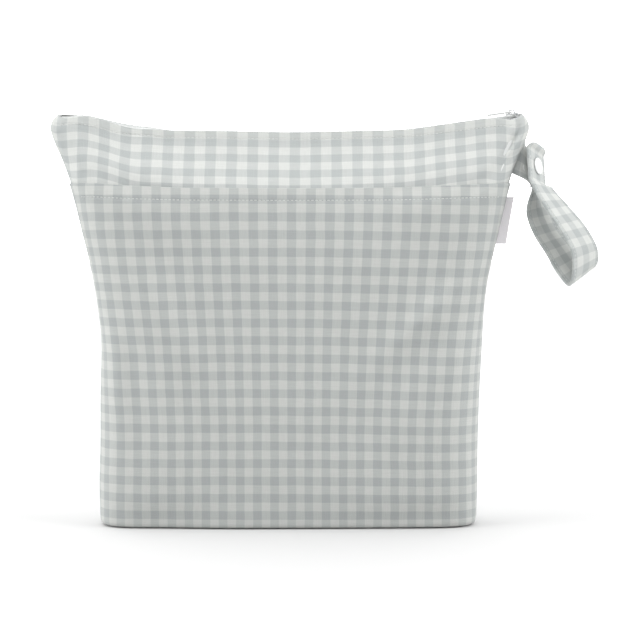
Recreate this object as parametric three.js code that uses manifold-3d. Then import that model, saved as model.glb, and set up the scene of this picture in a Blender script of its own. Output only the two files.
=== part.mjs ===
// A zipped cloth wet bag that stands on its boxed base: gingham shell, slip pocket on the front,
// zip across the top, and a carry strap with a press stud in the right side seam.
// Millimetres, +Z up. The origin is the middle of the flat base, and the front faces -Y.
import * as THREE from 'three';
import { mergeVertices } from 'three/addons/utils/BufferGeometryUtils.js';
import Module from 'manifold-3d';

const wasm = await Module();
wasm.setup();

// The bag as a whole
const bagWidth = 341; // across the flat top corners
const bagHeight = 297; // from the base to the top corners
const bellyDepth = 78; // front to back where the filled bag is fullest
const mouthDepth = 14; // front to back over the zip
const baseEdgeRadius = 5; // rounding between the base and the walls
const clothThickness = 1.2; // printed cotton laminated to its waterproof backing
const foldDepth = 5; // how far the deepest soft fold stands out or in
const foldFade = 36; // height over which the folds die away at the base and under the zip
const dipFrom = 208; // height from which the rows of the shell follow the dip of the mouth
const dipSharpness = 1.5;
const seatGap = 0.3; // between pieces that touch on the real bag

// The slip pocket
const pocketHeight = 247; // height of its hem
const hemWidth = 9; // from the folded edge to the topstitching
const hemThickness = 1.9;
const pocketMouthGap = 4.5; // how far the hem stands off the bag where the mouth opens
const pocketMouthDepth = 34; // how far down the opening is felt

// The zip
const tapeThickness = 0.6;
const tapeDrop = 9; // the part of the tape that is sewn down inside the bag
const tapeEndGap = 6; // from the side seam to the end of the tape
const rimDepth = 0.3; // from the cloth's rim down to the tape
const chainWidth = 4.2;
const chainHeight = 2;
const sliderLength = 9.2;
const sliderWidth = 7;
const sliderPlate = 1;
const sliderPost = 2.2; // length of the wedge that joins its two plates
const sliderFromEnd = 2.5; // from the end of the tape to the middle of the closed slider
const bailLength = 4.8;
const bailWidth = 1.6;
const bailBar = 0.9; // thickness of the bail's legs and bridge
const sliderTailWidth = 5;
const sliderNoseWidth = 4.2;
const pullLength = 18.4;
const pullWidth = 4.8;
const pullThickness = 1.2;
const pullTipRadius = 1.4;
const pullPivotBar = 0.8;
const runningGap = 0.35; // between the pull and what it swings on

// The carry strap and its press stud
const strapWidth = 26;
const strapThickness = 2;
const strapReach = 48.7; // from the seam out to the bottom of the loop
const strapDrop = 87.5; // from the seam down to the bottom of the loop
const strapForward = 14; // how far the loop swings to the front and back
const strapHeight = 268; // where it leaves the side seam
const studCapDiameter = 12.4;
const studCapThickness = 1.6;
const studRingDiameter = 10.4;
const studRingThickness = 1.8;
const studBaseThickness = 1;
const studPostDiameter = 4.2;
const pressedMargin = 5; // how far beside the stud's caps the strap stays flat
const pressedEase = 3.4; // and over how much more it bends back to its own curve

// The side label
const labelHeight = 34;
const labelShows = 8.5; // how far its lower corner stands out of the seam
const labelLean = 2.5; // how much further the seam hides its upper corner
const labelThickness = 0.45;
const labelTop = 238;

// Sections of the shell from the base up. height is a share of the bag's height, width of half its width,
// and depth goes from the mouth's half depth at 0 to the belly's at 1. shift moves the section to the right
// by a share of half the width, and square says how boxy its corners are.
const shellSections = [
  { height: 0.018, width: 0.8, depth: 0.89, shift: -0.003, square: 16 },
  { height: 0.1, width: 0.803, depth: 0.95, shift: -0.003, square: 16 },
  { height: 0.2, width: 0.801, depth: 0.98, shift: 0, square: 15 },
  { height: 0.32, width: 0.803, depth: 1, shift: 0.004, square: 14 },
  { height: 0.45, width: 0.806, depth: 1, shift: 0.012, square: 13 },
  { height: 0.53, width: 0.817, depth: 0.99, shift: 0.009, square: 12 },
  { height: 0.6, width: 0.834, depth: 0.98, shift: 0.007, square: 11 },
  { height: 0.66, width: 0.857, depth: 0.96, shift: 0.007, square: 10 },
  { height: 0.72, width: 0.882, depth: 0.92, shift: 0.006, square: 10 },
  { height: 0.78, width: 0.907, depth: 0.85, shift: 0.006, square: 9 },
  { height: 0.825, width: 0.928, depth: 0.75, shift: 0.005, square: 9 },
  { height: 0.86, width: 0.948, depth: 0.6, shift: 0.004, square: 9 },
  { height: 0.895, width: 0.972, depth: 0.41, shift: 0.004, square: 10 },
  { height: 0.93, width: 0.992, depth: 0.22, shift: 0.004, square: 12 },
  { height: 0.965, width: 1, depth: 0.07, shift: 0.004, square: 18 },
  { height: 1, width: 1, depth: 0, shift: 0.004, square: 24 },
];

// The line of the mouth. across is a share of half the width, and level of the bag's height.
const mouthLine = [
  { across: -1, level: 1.002 },
  { across: -0.88, level: 1 },
  { across: -0.8, level: 0.99 },
  { across: -0.7, level: 0.978 },
  { across: -0.6, level: 0.971 },
  { across: -0.5, level: 0.963 },
  { across: -0.3, level: 0.961 },
  { across: 0, level: 0.958 },
  { across: 0.3, level: 0.961 },
  { across: 0.5, level: 0.965 },
  { across: 0.65, level: 0.976 },
  { across: 0.8, level: 0.988 },
  { across: 0.9, level: 0.996 },
  { across: 1, level: 1.004 },
];

// Soft folds and hollows. side is -1 on the front and 1 on the back, across and level place the middle as
// shares of half the width and of the height, long and broad are half lengths as shares of the height,
// turn is the fold's direction in degrees from level, and rise is a share of the fold depth.
const softFolds = [
  { side: -1, across: -0.5, level: 0.84, long: 0.3, broad: 0.07, turn: -42, rise: 0.75 },
  { side: -1, across: -0.62, level: 0.6, long: 0.28, broad: 0.07, turn: -62, rise: -0.6 },
  { side: -1, across: -0.72, level: 0.4, long: 0.24, broad: 0.09, turn: -70, rise: 0.8 },
  { side: -1, across: 0.62, level: 0.7, long: 0.24, broad: 0.05, turn: 42, rise: 0.7 },
  { side: -1, across: 0.66, level: 0.6, long: 0.22, broad: 0.05, turn: 42, rise: -0.6 },
  { side: -1, across: 0.68, level: 0.3, long: 0.3, broad: 0.1, turn: 84, rise: 0.5 },
  { side: -1, across: 0.02, level: 0.72, long: 0.26, broad: 0.14, turn: 90, rise: -0.5 },
  { side: 1, across: -0.45, level: 0.72, long: 0.3, broad: 0.08, turn: -50, rise: 0.7 },
  { side: 1, across: 0.5, level: 0.66, long: 0.3, broad: 0.07, turn: 48, rise: -0.6 },
  { side: 1, across: 0.05, level: 0.45, long: 0.34, broad: 0.16, turn: 85, rise: 0.4 },
];

// Where the pocket's mouth stands open: middle and half length as shares of half the width.
const pocketOpenings = [
  { across: -0.66, long: 0.26, rise: 1 },
  { across: 0.7, long: 0.24, rise: 0.8 },
];

// The strap's middle line from the seam to its free end. out, back and down are shares of the strap's
// reach, its swing to front and back, and its drop. turn and tilt are the direction of its width in degrees,
// from the right towards the back, and upwards.
const strapRoute = [
  { step: 0, out: 0, back: 0, down: 0, turn: 0, tilt: 70 },
  { step: 1, out: 0.2, back: 0.2, down: 0.09, turn: 40, tilt: 84 },
  { step: 2, out: 0.29, back: 0.62, down: 0.15, turn: 53, tilt: 44 },
  { step: 3, out: 0.31, back: 0.72, down: 0.26, turn: 52, tilt: 8 },
  { step: 4, out: 0.316, back: 0.29, down: 0.442, turn: 46, tilt: 7 },
  { step: 5, out: 0.441, back: 0, down: 0.623, turn: 43, tilt: 10 },
  { step: 6, out: 0.612, back: -0.14, down: 0.775, turn: 40, tilt: 14 },
  { step: 7, out: 0.799, back: -0.36, down: 0.917, turn: 34, tilt: 24 },
  { step: 8, out: 0.93, back: -0.58, down: 0.995, turn: 28, tilt: 31 },
  { step: 9, out: 0.985, back: -0.76, down: 0.965, turn: 27, tilt: 31 },
  { step: 10, out: 1, back: -0.86, down: 0.886, turn: 35, tilt: 21 },
  { step: 11, out: 0.959, back: -0.93, down: 0.767, turn: 41, tilt: 11 },
  { step: 12, out: 0.789, back: -0.86, down: 0.594, turn: 43, tilt: 9 },
  { step: 13, out: 0.581, back: -0.71, down: 0.438, turn: 48, tilt: 6 },
  { step: 14, out: 0.365, back: -0.43, down: 0.265, turn: 49, tilt: -7 },
  { step: 15, out: 0.278, back: -0.02, down: 0.088, turn: 57, tilt: -16 },
  { step: 16, out: 0.325, back: 0.16, down: -0.06, turn: 58, tilt: -16 },
];
const studStep = 15; // the step of the route that the press stud goes through
const stubStep = 1; // the step that it fastens to

// Fineness of the faceted surfaces
const columnsPerFace = 26;
const tallestRow = 24; // a wider step between sections gets a row in its middle
const hemClearance = 4.8; // a section nearer than this to an edge of the hem gives way to it
const baseEdgeSteps = 3;
const zipSteps = 32;
const strapStepsPerRow = 5;
const studSides = 20;

// Reads a table's column at a place along it, as one smooth curve through its rows.
function readTable(table, along, column, place) {
  let row = 0;
  while (row < table.length - 2 && table[row + 1][along] < place) row += 1;
  const slope = (at) => {
    const before = table[Math.max(at - 1, 0)];
    const after = table[Math.min(at + 1, table.length - 1)];
    return (after[column] - before[column]) / (after[along] - before[along]);
  };
  const span = table[row + 1][along] - table[row][along];
  const t = THREE.MathUtils.clamp((place - table[row][along]) / span, 0, 1);
  const from = table[row][column];
  const to = table[row + 1][column];
  const ease = t * t * (3 - 2 * t);
  const leave = t * (1 - t) * (1 - t) * span * slope(row);
  const arrive = t * t * (1 - t) * span * slope(row + 1);
  return from + (to - from) * ease + leave - arrive;
}

// Closed solids from points and triangles

function solidGeometry(points, triangles) {
  const geometry = new THREE.BufferGeometry();
  const numbers = new Float32Array(points.flatMap((p) => [p.x, p.y, p.z]));
  geometry.setAttribute('position', new THREE.BufferAttribute(numbers, 3));
  let volume = 0;
  for (const [a, b, c] of triangles) {
    const across = new THREE.Vector3().crossVectors(points[b], points[c]);
    volume += points[a].dot(across);
  }
  const outward = volume < 0 ? turnedOver(triangles) : triangles;
  geometry.setIndex(outward.flat());
  geometry.computeVertexNormals();
  return geometry;
}

// Triangles between two neighbouring rows of points, given by the numbers of their points.
function joinRows(lower, upper, closed) {
  const triangles = [];
  const count = closed ? lower.length : lower.length - 1;
  for (let i = 0; i < count; i += 1) {
    const next = (i + 1) % lower.length;
    triangles.push([lower[i], lower[next], upper[next]]);
    triangles.push([lower[i], upper[next], upper[i]]);
  }
  return triangles;
}

function turnedOver(triangles) {
  return triangles.map(([a, b, c]) => [a, c, b]);
}

// A bar whose section is a closed outline of points, given station by station, with flat ends.
function barGeometry(stations) {
  const sides = stations[0].length;
  const points = stations.flat();
  const rows = stations.map((station, i) => station.map((_, j) => i * sides + j));
  const triangles = [];
  for (let i = 0; i + 1 < rows.length; i += 1) triangles.push(...joinRows(rows[i], rows[i + 1], true));
  const outline = stations[0].map((p) => p.clone());
  const ends = endTriangles(outline);
  const last = rows[rows.length - 1];
  for (const [a, b, c] of ends) {
    triangles.push([rows[0][a], rows[0][c], rows[0][b]]);
    triangles.push([last[a], last[b], last[c]]);
  }
  return solidGeometry(points, triangles);
}

// Triangles over a flat outline of points in space.
function endTriangles(outline) {
  const middle = outline.reduce((sum, p) => sum.add(p), new THREE.Vector3()).divideScalar(outline.length);
  const normal = new THREE.Vector3();
  outline.forEach((p, i) => {
    const next = outline[(i + 1) % outline.length];
    normal.add(p.clone().sub(middle).cross(next.clone().sub(middle)));
  });
  normal.normalize();
  const across = outline[1].clone().sub(outline[0]).normalize();
  const up = new THREE.Vector3().crossVectors(normal, across);
  const flat = outline.map((p) => new THREE.Vector2(p.dot(across), p.dot(up)));
  return THREE.ShapeUtils.triangulateShape(flat, []);
}

function toSolid(geometry) {
  const bare = geometry.clone();
  bare.deleteAttribute('normal');
  bare.deleteAttribute('uv');
  const merged = mergeVertices(bare);
  return new wasm.Manifold(new wasm.Mesh({
    numProp: 3,
    vertProperties: merged.attributes.position.array,
    triVerts: new Uint32Array(merged.index.array),
  }));
}

function fromSolid(solid) {
  const mesh = solid.getMesh();
  const geometry = new THREE.BufferGeometry();
  geometry.setAttribute('position', new THREE.BufferAttribute(new Float32Array(mesh.vertProperties), 3));
  geometry.setIndex(Array.from(mesh.triVerts));
  geometry.computeVertexNormals();
  return geometry;
}

function joinAll(geometries) {
  return fromSolid(geometries.map(toSolid).reduce((whole, piece) => whole.add(piece)));
}

// A box between two heights, centred on x and y.
function blockGeometry(x, length, width, bottom, top) {
  return new THREE.BoxGeometry(length, width, top - bottom).translate(x, 0, (bottom + top) / 2);
}

// The shape of the shell

const halfWidth = bagWidth / 2;
const bellyHalf = bellyDepth / 2;
const mouthHalf = mouthDepth / 2;
const zipEnd = halfWidth - tapeEndGap;
const sliderPlace = zipEnd - sliderFromEnd;
const sideRoundness = 2.2;

function sectionAt(level) {
  const read = (column) => readTable(shellSections, 'height', column, level);
  return {
    halfX: halfWidth * read('width'),
    halfY: mouthHalf + (bellyHalf - mouthHalf) * read('depth'),
    middle: halfWidth * read('shift'),
    square: read('square'),
  };
}

// How far a point sinks because the mouth dips between the corners; the dip fades out below the pocket's hem.
function mouthDip(share, level) {
  const fade = THREE.MathUtils.clamp((level * bagHeight - dipFrom) / (bagHeight - dipFrom), 0, 1);
  return (readTable(mouthLine, 'across', 'level', share) - 1) * bagHeight * fade ** dipSharpness;
}

// How far the cloth stands out from the plain section because of its soft folds, which die away at the
// base, under the zip and towards the seams.
function foldAt(side, share, level) {
  const widthShare = halfWidth / bagHeight;
  const overZip = THREE.MathUtils.clamp(((1 - level) * bagHeight) / foldFade, 0, 1);
  const overBase = THREE.MathUtils.clamp((level * bagHeight) / foldFade, 0, 1);
  const overSide = 1 - Math.abs(share) ** 6;
  let rise = 0;
  for (const fold of softFolds) {
    const dx = (share - fold.across) * widthShare;
    const dz = level - fold.level;
    const turn = THREE.MathUtils.degToRad(fold.turn);
    const along = (dx * Math.cos(turn) + dz * Math.sin(turn)) / fold.long;
    const across = (dz * Math.cos(turn) - dx * Math.sin(turn)) / fold.broad;
    if (fold.side === side) rise += fold.rise * Math.exp(-along * along - across * across);
  }
  return foldDepth * rise * overZip * overBase * overSide;
}

// A point of the shell: share runs from the left seam at -1 to the right seam at 1, side is -1 on the
// front, and proud is how far the point stands outside the shell's outer face.
function shellPoint(share, side, level, proud) {
  const section = sectionAt(level);
  const round = (1 - Math.abs(share) ** section.square) ** (1 / sideRoundness);
  const y = side * ((section.halfY + proud) * round + foldAt(side, share, level));
  const x = section.middle + share * (section.halfX + proud);
  return new THREE.Vector3(x, y, level * bagHeight + mouthDip(share, level));
}

// Shares across a face, closer together towards the seams, where the shell turns the corner.
function sharesAcross() {
  const shares = [];
  for (let i = 0; i <= columnsPerFace; i += 1) {
    shares.push(Math.sin((Math.PI / 2) * ((2 * i) / columnsPerFace - 1)));
  }
  return shares;
}

// Once round the shell: along the front from left to right, and along the back again.
function ringAt(level, proud) {
  const shares = sharesAcross();
  const front = shares.slice(0, -1).map((share) => shellPoint(share, -1, level, proud));
  const back = shares.slice(1).reverse().map((share) => shellPoint(share, 1, level, proud));
  return [...front, ...back];
}

const hemTop = pocketHeight / bagHeight;
const hemFoot = (pocketHeight - hemWidth) / bagHeight;

// The rows of the shell: its sections, one more in each wide step, and the two edges of the pocket's hem.
function shellLevels() {
  const levels = [hemFoot, hemTop];
  const fromHem = (level) => Math.min(Math.abs(level - hemFoot), Math.abs(level - hemTop)) * bagHeight;
  shellSections.forEach((row, i) => {
    if (fromHem(row.height) > hemClearance) levels.push(row.height);
    const next = shellSections[i + 1];
    const wide = next && (next.height - row.height) * bagHeight > tallestRow;
    if (wide) levels.push((row.height + next.height) / 2);
  });
  return levels.sort((a, b) => a - b);
}

// The rounded lower edge: rings that draw in towards the flat base as they go down.
function baseRings(floor, radius, proud) {
  const lowest = shellSections[0].height;
  const rings = [];
  for (let i = 0; i < baseEdgeSteps; i += 1) {
    const angle = (Math.PI / 2) * (i / baseEdgeSteps);
    const drawnIn = radius * (1 - Math.sin(angle));
    const ring = ringAt(lowest, proud - drawnIn);
    ring.forEach((p) => p.setZ(floor + radius * (1 - Math.cos(angle))));
    rings.push(ring);
  }
  return rings;
}

function bodyGeometry() {
  const wall = (proud, floor, radius) => [
    ...baseRings(floor, radius, proud),
    ...shellLevels().map((level) => ringAt(level, proud)),
  ];
  const outer = wall(0, 0, baseEdgeRadius);
  const inner = wall(-clothThickness, clothThickness, baseEdgeRadius - clothThickness);
  const count = outer[0].length;
  const rings = [...outer, ...inner.reverse()];
  const points = rings.flat();
  const rows = rings.map((ring, i) => ring.map((_, j) => i * count + j));
  const triangles = [];
  for (let i = 0; i + 1 < rows.length; i += 1) triangles.push(...joinRows(rows[i], rows[i + 1], true));
  const underside = points.push(new THREE.Vector3(0, 0, 0)) - 1;
  const inside = points.push(new THREE.Vector3(0, 0, clothThickness)) - 1;
  const last = rows[rows.length - 1];
  for (let j = 0; j < count; j += 1) {
    const next = (j + 1) % count;
    triangles.push([underside, rows[0][next], rows[0][j]]);
    triangles.push([inside, last[j], last[next]]);
  }
  return solidGeometry(points, triangles);
}

// The slip pocket: a second cloth over the front, doubled at its hem, whose mouth stands a little open.
function pocketGeometry() {
  const hemStep = hemFoot + 1 / bagHeight; // the hem's extra layer starts here, 1 mm up
  const rowsUp = [...shellLevels().filter((level) => level <= hemTop), hemStep].sort((a, b) => a - b);
  const shares = sharesAcross().slice(1, -1);
  const standOff = (share, level) => {
    const below = ((hemTop - level) * bagHeight) / pocketMouthDepth;
    const open = pocketOpenings.reduce(
      (sum, row) => sum + row.rise * Math.exp(-(((share - row.across) / row.long) ** 2)),
      0,
    );
    return pocketMouthGap * open * Math.exp(-below * below);
  };
  const place = (share, level, proud) => {
    const point = shellPoint(share, -1, level, proud);
    point.y -= standOff(share, level);
    return point;
  };
  const face = (proudAt) => rowsUp.map((level) => shares.map((share) => place(share, level, proudAt(level))));
  const inner = face(() => seatGap);
  const outer = face((level) => seatGap + (level > hemFoot ? hemThickness : clothThickness));
  return sheetGeometry(inner, outer);
}

// A closed sheet between two grids of points of the same size.
function sheetGeometry(inner, outer) {
  const across = inner[0].length;
  const count = inner.length * across;
  const points = [...inner.flat(), ...outer.flat()];
  const innerRows = inner.map((row, i) => row.map((_, j) => i * across + j));
  const outerRows = innerRows.map((row) => row.map((n) => n + count));
  const triangles = [];
  for (let i = 0; i + 1 < innerRows.length; i += 1) {
    triangles.push(...turnedOver(joinRows(innerRows[i], innerRows[i + 1], false)));
    triangles.push(...joinRows(outerRows[i], outerRows[i + 1], false));
    const inside = (j) => [innerRows[i][j], innerRows[i + 1][j]];
    const outside = (j) => [outerRows[i][j], outerRows[i + 1][j]];
    triangles.push(...joinRows(outside(0), inside(0), false));
    triangles.push(...joinRows(inside(across - 1), outside(across - 1), false));
  }
  triangles.push(...joinRows(innerRows[0], outerRows[0], false));
  triangles.push(...joinRows(outerRows[outerRows.length - 1], innerRows[innerRows.length - 1], false));
  return solidGeometry(points, triangles);
}

// The zip

// A place on the line of the mouth, level with the cloth's rim, at x from the middle of the bag.
function mouthAt(x) {
  const top = sectionAt(1);
  const share = (x - top.middle) / top.halfX;
  const round = (1 - Math.abs(share) ** top.square) ** (1 / sideRoundness);
  return { x, rim: bagHeight + mouthDip(share, 1), halfGap: mouthHalf * round - clothThickness };
}

// A bar laid along the mouth, whose section at each station is drawn from that place on the line.
function alongMouth(from, to, outlineAt) {
  const stations = [];
  for (let i = 0; i <= zipSteps; i += 1) {
    const place = mouthAt(from + ((to - from) * i) / zipSteps);
    stations.push(outlineAt(place).map(([y, z]) => new THREE.Vector3(place.x, y, place.rim + z)));
  }
  return barGeometry(stations);
}

const chainHalf = chainWidth / 2;
const tapeTop = -rimDepth;
const tapeUnder = tapeTop - tapeThickness;
const chainMiddle = (tapeTop + tapeUnder) / 2;

// One tape: flat from the teeth to the lip, then down inside it.
function tapeGeometry(side) {
  return alongMouth(-zipEnd, zipEnd, (place) => {
    const inner = chainHalf + seatGap;
    const outer = place.halfGap - seatGap;
    const outline = [
      [inner, tapeTop],
      [outer, tapeTop],
      [outer, tapeTop - tapeDrop],
      [outer - tapeThickness, tapeTop - tapeDrop],
      [outer - tapeThickness, tapeUnder],
      [inner, tapeUnder],
    ];
    return outline.map(([y, z]) => [side * y, z]);
  });
}

// The closed coil as one bar with chamfered shoulders, from the left end up to the slider's wedge.
function chainGeometry() {
  const shoulder = chainHeight / 4;
  const half = chainHeight / 2;
  const end = sliderPlace + sliderLength / 2 - sliderPost - seatGap;
  return alongMouth(-zipEnd, end, () => [
    [-chainHalf, chainMiddle - shoulder],
    [-chainHalf + shoulder, chainMiddle - half],
    [chainHalf - shoulder, chainMiddle - half],
    [chainHalf, chainMiddle - shoulder],
    [chainHalf, chainMiddle + shoulder],
    [chainHalf - shoulder, chainMiddle + half],
    [-chainHalf + shoulder, chainMiddle + half],
    [-chainHalf, chainMiddle + shoulder],
  ]);
}

// The slider's own frame: x along the zip, z up from the middle of the tapes.
const plateInner = chainHeight / 2 + runningGap;
const plateOuter = plateInner + sliderPlate;
const pivotHeight = plateOuter + runningGap + pullThickness / 2;
const bridgeUnder = pivotHeight + pullThickness / 2 + runningGap;
const bridgeTop = bridgeUnder + bailBar;

// A plate of the slider, narrower at its tail, where the closed teeth leave it.
function plateGeometry(bottom, top) {
  const half = sliderLength / 2;
  const tail = sliderTailWidth / 2;
  const nose = sliderNoseWidth / 2;
  const shoulder = half * 0.45;
  const cheek = half * 0.8;
  const outline = new THREE.Shape();
  outline.moveTo(-half, -tail);
  outline.lineTo(0, -tail);
  outline.lineTo(shoulder, -sliderWidth / 2);
  outline.lineTo(cheek, -sliderWidth / 2);
  outline.lineTo(half, -nose);
  outline.lineTo(half, nose);
  outline.lineTo(cheek, sliderWidth / 2);
  outline.lineTo(shoulder, sliderWidth / 2);
  outline.lineTo(0, tail);
  outline.lineTo(-half, tail);
  outline.closePath();
  const settings = { depth: top - bottom, bevelEnabled: false };
  return new THREE.ExtrudeGeometry(outline, settings).translate(0, 0, bottom);
}

function sliderGeometry() {
  const bite = 0.2; // how deep joined solids run into each other
  const postWidth = (chainHalf - seatGap) * 2;
  const postMiddle = sliderLength / 2 - sliderPost / 2;
  const leg = (bailLength - bailBar) / 2;
  return joinAll([
    plateGeometry(plateInner, plateOuter),
    plateGeometry(-plateOuter, -plateInner),
    blockGeometry(postMiddle, sliderPost, postWidth, -plateInner - bite, plateInner + bite),
    blockGeometry(-leg, bailBar, bailWidth, plateOuter - bite, bridgeTop - bite),
    blockGeometry(leg, bailBar, bailWidth, plateOuter - bite, bridgeTop - bite),
    blockGeometry(0, bailLength, bailWidth, bridgeUnder, bridgeTop),
  ]);
}

// The flat pull, drawn about its pivot: a bar through the bail, two arms beside it and the tab.
function pullGeometry() {
  const armInner = bailWidth / 2 + runningGap;
  const reach = Math.hypot(bailLength / 2, bridgeTop - pivotHeight) + runningGap;
  const half = pullWidth / 2;
  const head = pullPivotBar / 2;
  const tip = head - pullLength + pullTipRadius;
  const corner = half - pullTipRadius;
  const outline = new THREE.Shape();
  outline.moveTo(head, -half);
  outline.lineTo(head, half);
  outline.lineTo(tip, half);
  outline.absarc(tip, corner, pullTipRadius, Math.PI / 2, Math.PI, false);
  outline.absarc(tip, -corner, pullTipRadius, Math.PI, Math.PI * 1.5, false);
  outline.closePath();
  const eye = new THREE.Path();
  eye.moveTo(-head, -armInner);
  eye.lineTo(-reach, -armInner);
  eye.lineTo(-reach, armInner);
  eye.lineTo(-head, armInner);
  eye.closePath();
  outline.holes.push(eye);
  const settings = { depth: pullThickness, bevelEnabled: false, curveSegments: 4 };
  return new THREE.ExtrudeGeometry(outline, settings).translate(0, 0, -pullThickness / 2);
}

// The slider stands on the mouth's line and leans with it.
function sliderFrame() {
  const place = mouthAt(sliderPlace);
  const ahead = mouthAt(sliderPlace + sliderLength / 2);
  const behind = mouthAt(sliderPlace - sliderLength / 2);
  const frame = new THREE.Group();
  frame.position.set(place.x, 0, place.rim + chainMiddle);
  frame.rotation.y = -Math.atan2(ahead.rim - behind.rim, sliderLength);
  return frame;
}

// The carry strap

// Where the strap leaves the side seam: its end lies along the slope of the seam, clear of its curve.
function seamStation() {
  const seamAt = (share) => shellPoint(1, -1, (strapHeight + (share * strapWidth) / 2) / bagHeight, 0);
  const lower = seamAt(-1);
  const width = seamAt(1).sub(lower).normalize();
  const bulge = (share) => {
    const out = seamAt(share).sub(lower);
    return out.x * width.z - out.z * width.x;
  };
  const clear = Math.max(...[-1, -0.5, 0, 0.5, 1].map(bulge)) + seatGap;
  const outward = new THREE.Vector3(width.z, 0, -width.x);
  const middle = lower.addScaledVector(width, strapWidth / 2).addScaledVector(outward, clear);
  return { middle, width, face: new THREE.Vector3(0, -1, 0) };
}

function routeAt(step) {
  const read = (column) => readTable(strapRoute, 'step', column, step);
  const seat = seamStation().middle;
  const middle = new THREE.Vector3(
    seat.x + read('out') * strapReach,
    read('back') * strapForward,
    seat.z - read('down') * strapDrop,
  );
  const turn = THREE.MathUtils.degToRad(read('turn'));
  const tilt = THREE.MathUtils.degToRad(read('tilt'));
  const width = new THREE.Vector3(
    Math.cos(tilt) * Math.cos(turn),
    Math.cos(tilt) * Math.sin(turn),
    Math.sin(tilt),
  );
  return { middle, width };
}

// The strap's station at a step: its middle, the direction of its width, and the direction that its face
// looks in, which is square to the width and to the way the strap runs.
function strapStation(step) {
  const last = strapRoute.length - 1;
  const pace = 1 / strapStepsPerRow;
  const here = routeAt(step);
  const before = routeAt(Math.max(step - pace, 0)).middle;
  const after = routeAt(Math.min(step + pace, last)).middle;
  const face = new THREE.Vector3().crossVectors(after.sub(before), here.width).normalize();
  return { middle: here.middle, width: here.width, face };
}

// The press stud's axis, through the free end and square to its face.
function studFrame() {
  const station = strapStation(studStep);
  return { middle: station.middle, axis: station.face.clone().negate(), across: station.width };
}

const studStack = strapThickness + studRingThickness + studBaseThickness + seatGap * 3;

// The short end at the seam lies flat against the press stud's back half.
function stubStation() {
  const stud = studFrame();
  const middle = stud.middle.clone().addScaledVector(stud.axis, -studStack);
  const up = new THREE.Vector3(0, 0, 1);
  const width = up.addScaledVector(stud.axis, -up.dot(stud.axis)).normalize();
  return { middle, width, face: stud.axis.clone() };
}

function blendStations(first, second, share) {
  const mix = (name) => first[name].clone().lerp(second[name], share);
  return { middle: mix('middle'), width: mix('width').normalize(), face: mix('face').normalize() };
}

// The cloth is pressed flat under the stud's caps, and eases back to its own curve beside them.
function pressedFlat(station, plane) {
  const flatReach = studCapDiameter / 2 + pressedMargin;
  const away = station.middle.distanceTo(plane.middle);
  const hold = 1 - THREE.MathUtils.smoothstep(away, flatReach, flatReach + pressedEase);
  const lift = station.middle.clone().sub(plane.middle).dot(plane.face);
  const middle = station.middle.clone().addScaledVector(plane.face, -lift * hold);
  const face = station.face.clone().lerp(plane.face, hold).normalize();
  const width = station.width.clone().addScaledVector(face, -station.width.dot(face)).normalize();
  return { middle, width, face };
}

function strapGeometry() {
  const seam = seamStation();
  const stub = stubStation();
  const stud = strapStation(studStep);
  const stations = [seam];
  const steps = (strapRoute.length - 1) * strapStepsPerRow;
  for (let i = 1; i <= steps; i += 1) {
    const step = i / strapStepsPerRow;
    const past = THREE.MathUtils.clamp(step - stubStep, 0, 1);
    const leaving = blendStations(seam, stub, Math.min(step / stubStep, 1));
    const loose = blendStations(leaving, strapStation(step), past);
    stations.push(pressedFlat(loose, step < strapRoute.length / 2 ? stub : stud));
  }
  return barGeometry(stations.map(({ middle, width, face }) => {
    const corner = (w, f) => middle.clone()
      .addScaledVector(width, (w * strapWidth) / 2)
      .addScaledVector(face, (f * strapThickness) / 2);
    return [corner(-1, -1), corner(1, -1), corner(1, 1), corner(-1, 1)];
  }));
}

// A turned piece of the press stud: a closed outline of [radius, height] points about its axis.
function turnedGeometry(outline) {
  const profile = [...outline, outline[0]].map(([radius, height]) => new THREE.Vector2(radius, height));
  return new THREE.LatheGeometry(profile, studSides).rotateX(Math.PI / 2);
}

// Half the outline of a low dome: a small undercut at the rim, a rolled edge and a flatter crown.
function domeOutline(radius, thickness) {
  return [
    [0, 0],
    [radius * 0.97, 0],
    [radius, thickness * 0.35],
    [radius * 0.86, thickness * 0.85],
    [0, thickness],
  ];
}

function studPieces() {
  const capRadius = studCapDiameter / 2;
  const ringRadius = studRingDiameter / 2;
  const postRadius = studPostDiameter / 2;
  const bore = postRadius + seatGap;
  const layer = strapThickness / 2 + seatGap;
  const ring = [
    [bore, 0],
    [ringRadius, 0],
    [ringRadius, studRingThickness],
    [bore, studRingThickness],
  ];
  const base = [
    [0, 0],
    [ringRadius, 0],
    [ringRadius, studBaseThickness],
    [postRadius, studBaseThickness],
    [postRadius, studBaseThickness + studRingThickness],
    [0, studBaseThickness + studRingThickness],
  ];
  const flip = (geometry) => geometry.rotateX(Math.PI);
  return [
    ['stud_cap', turnedGeometry(domeOutline(capRadius, studCapThickness)), layer],
    ['stud_socket', turnedGeometry(ring), -layer - studRingThickness],
    ['stud_post', turnedGeometry(base), -layer - studRingThickness - studBaseThickness - seatGap / 2],
    ['stud_back_cap', flip(turnedGeometry(domeOutline(capRadius, studCapThickness))), -studStack - layer],
  ];
}

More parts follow.
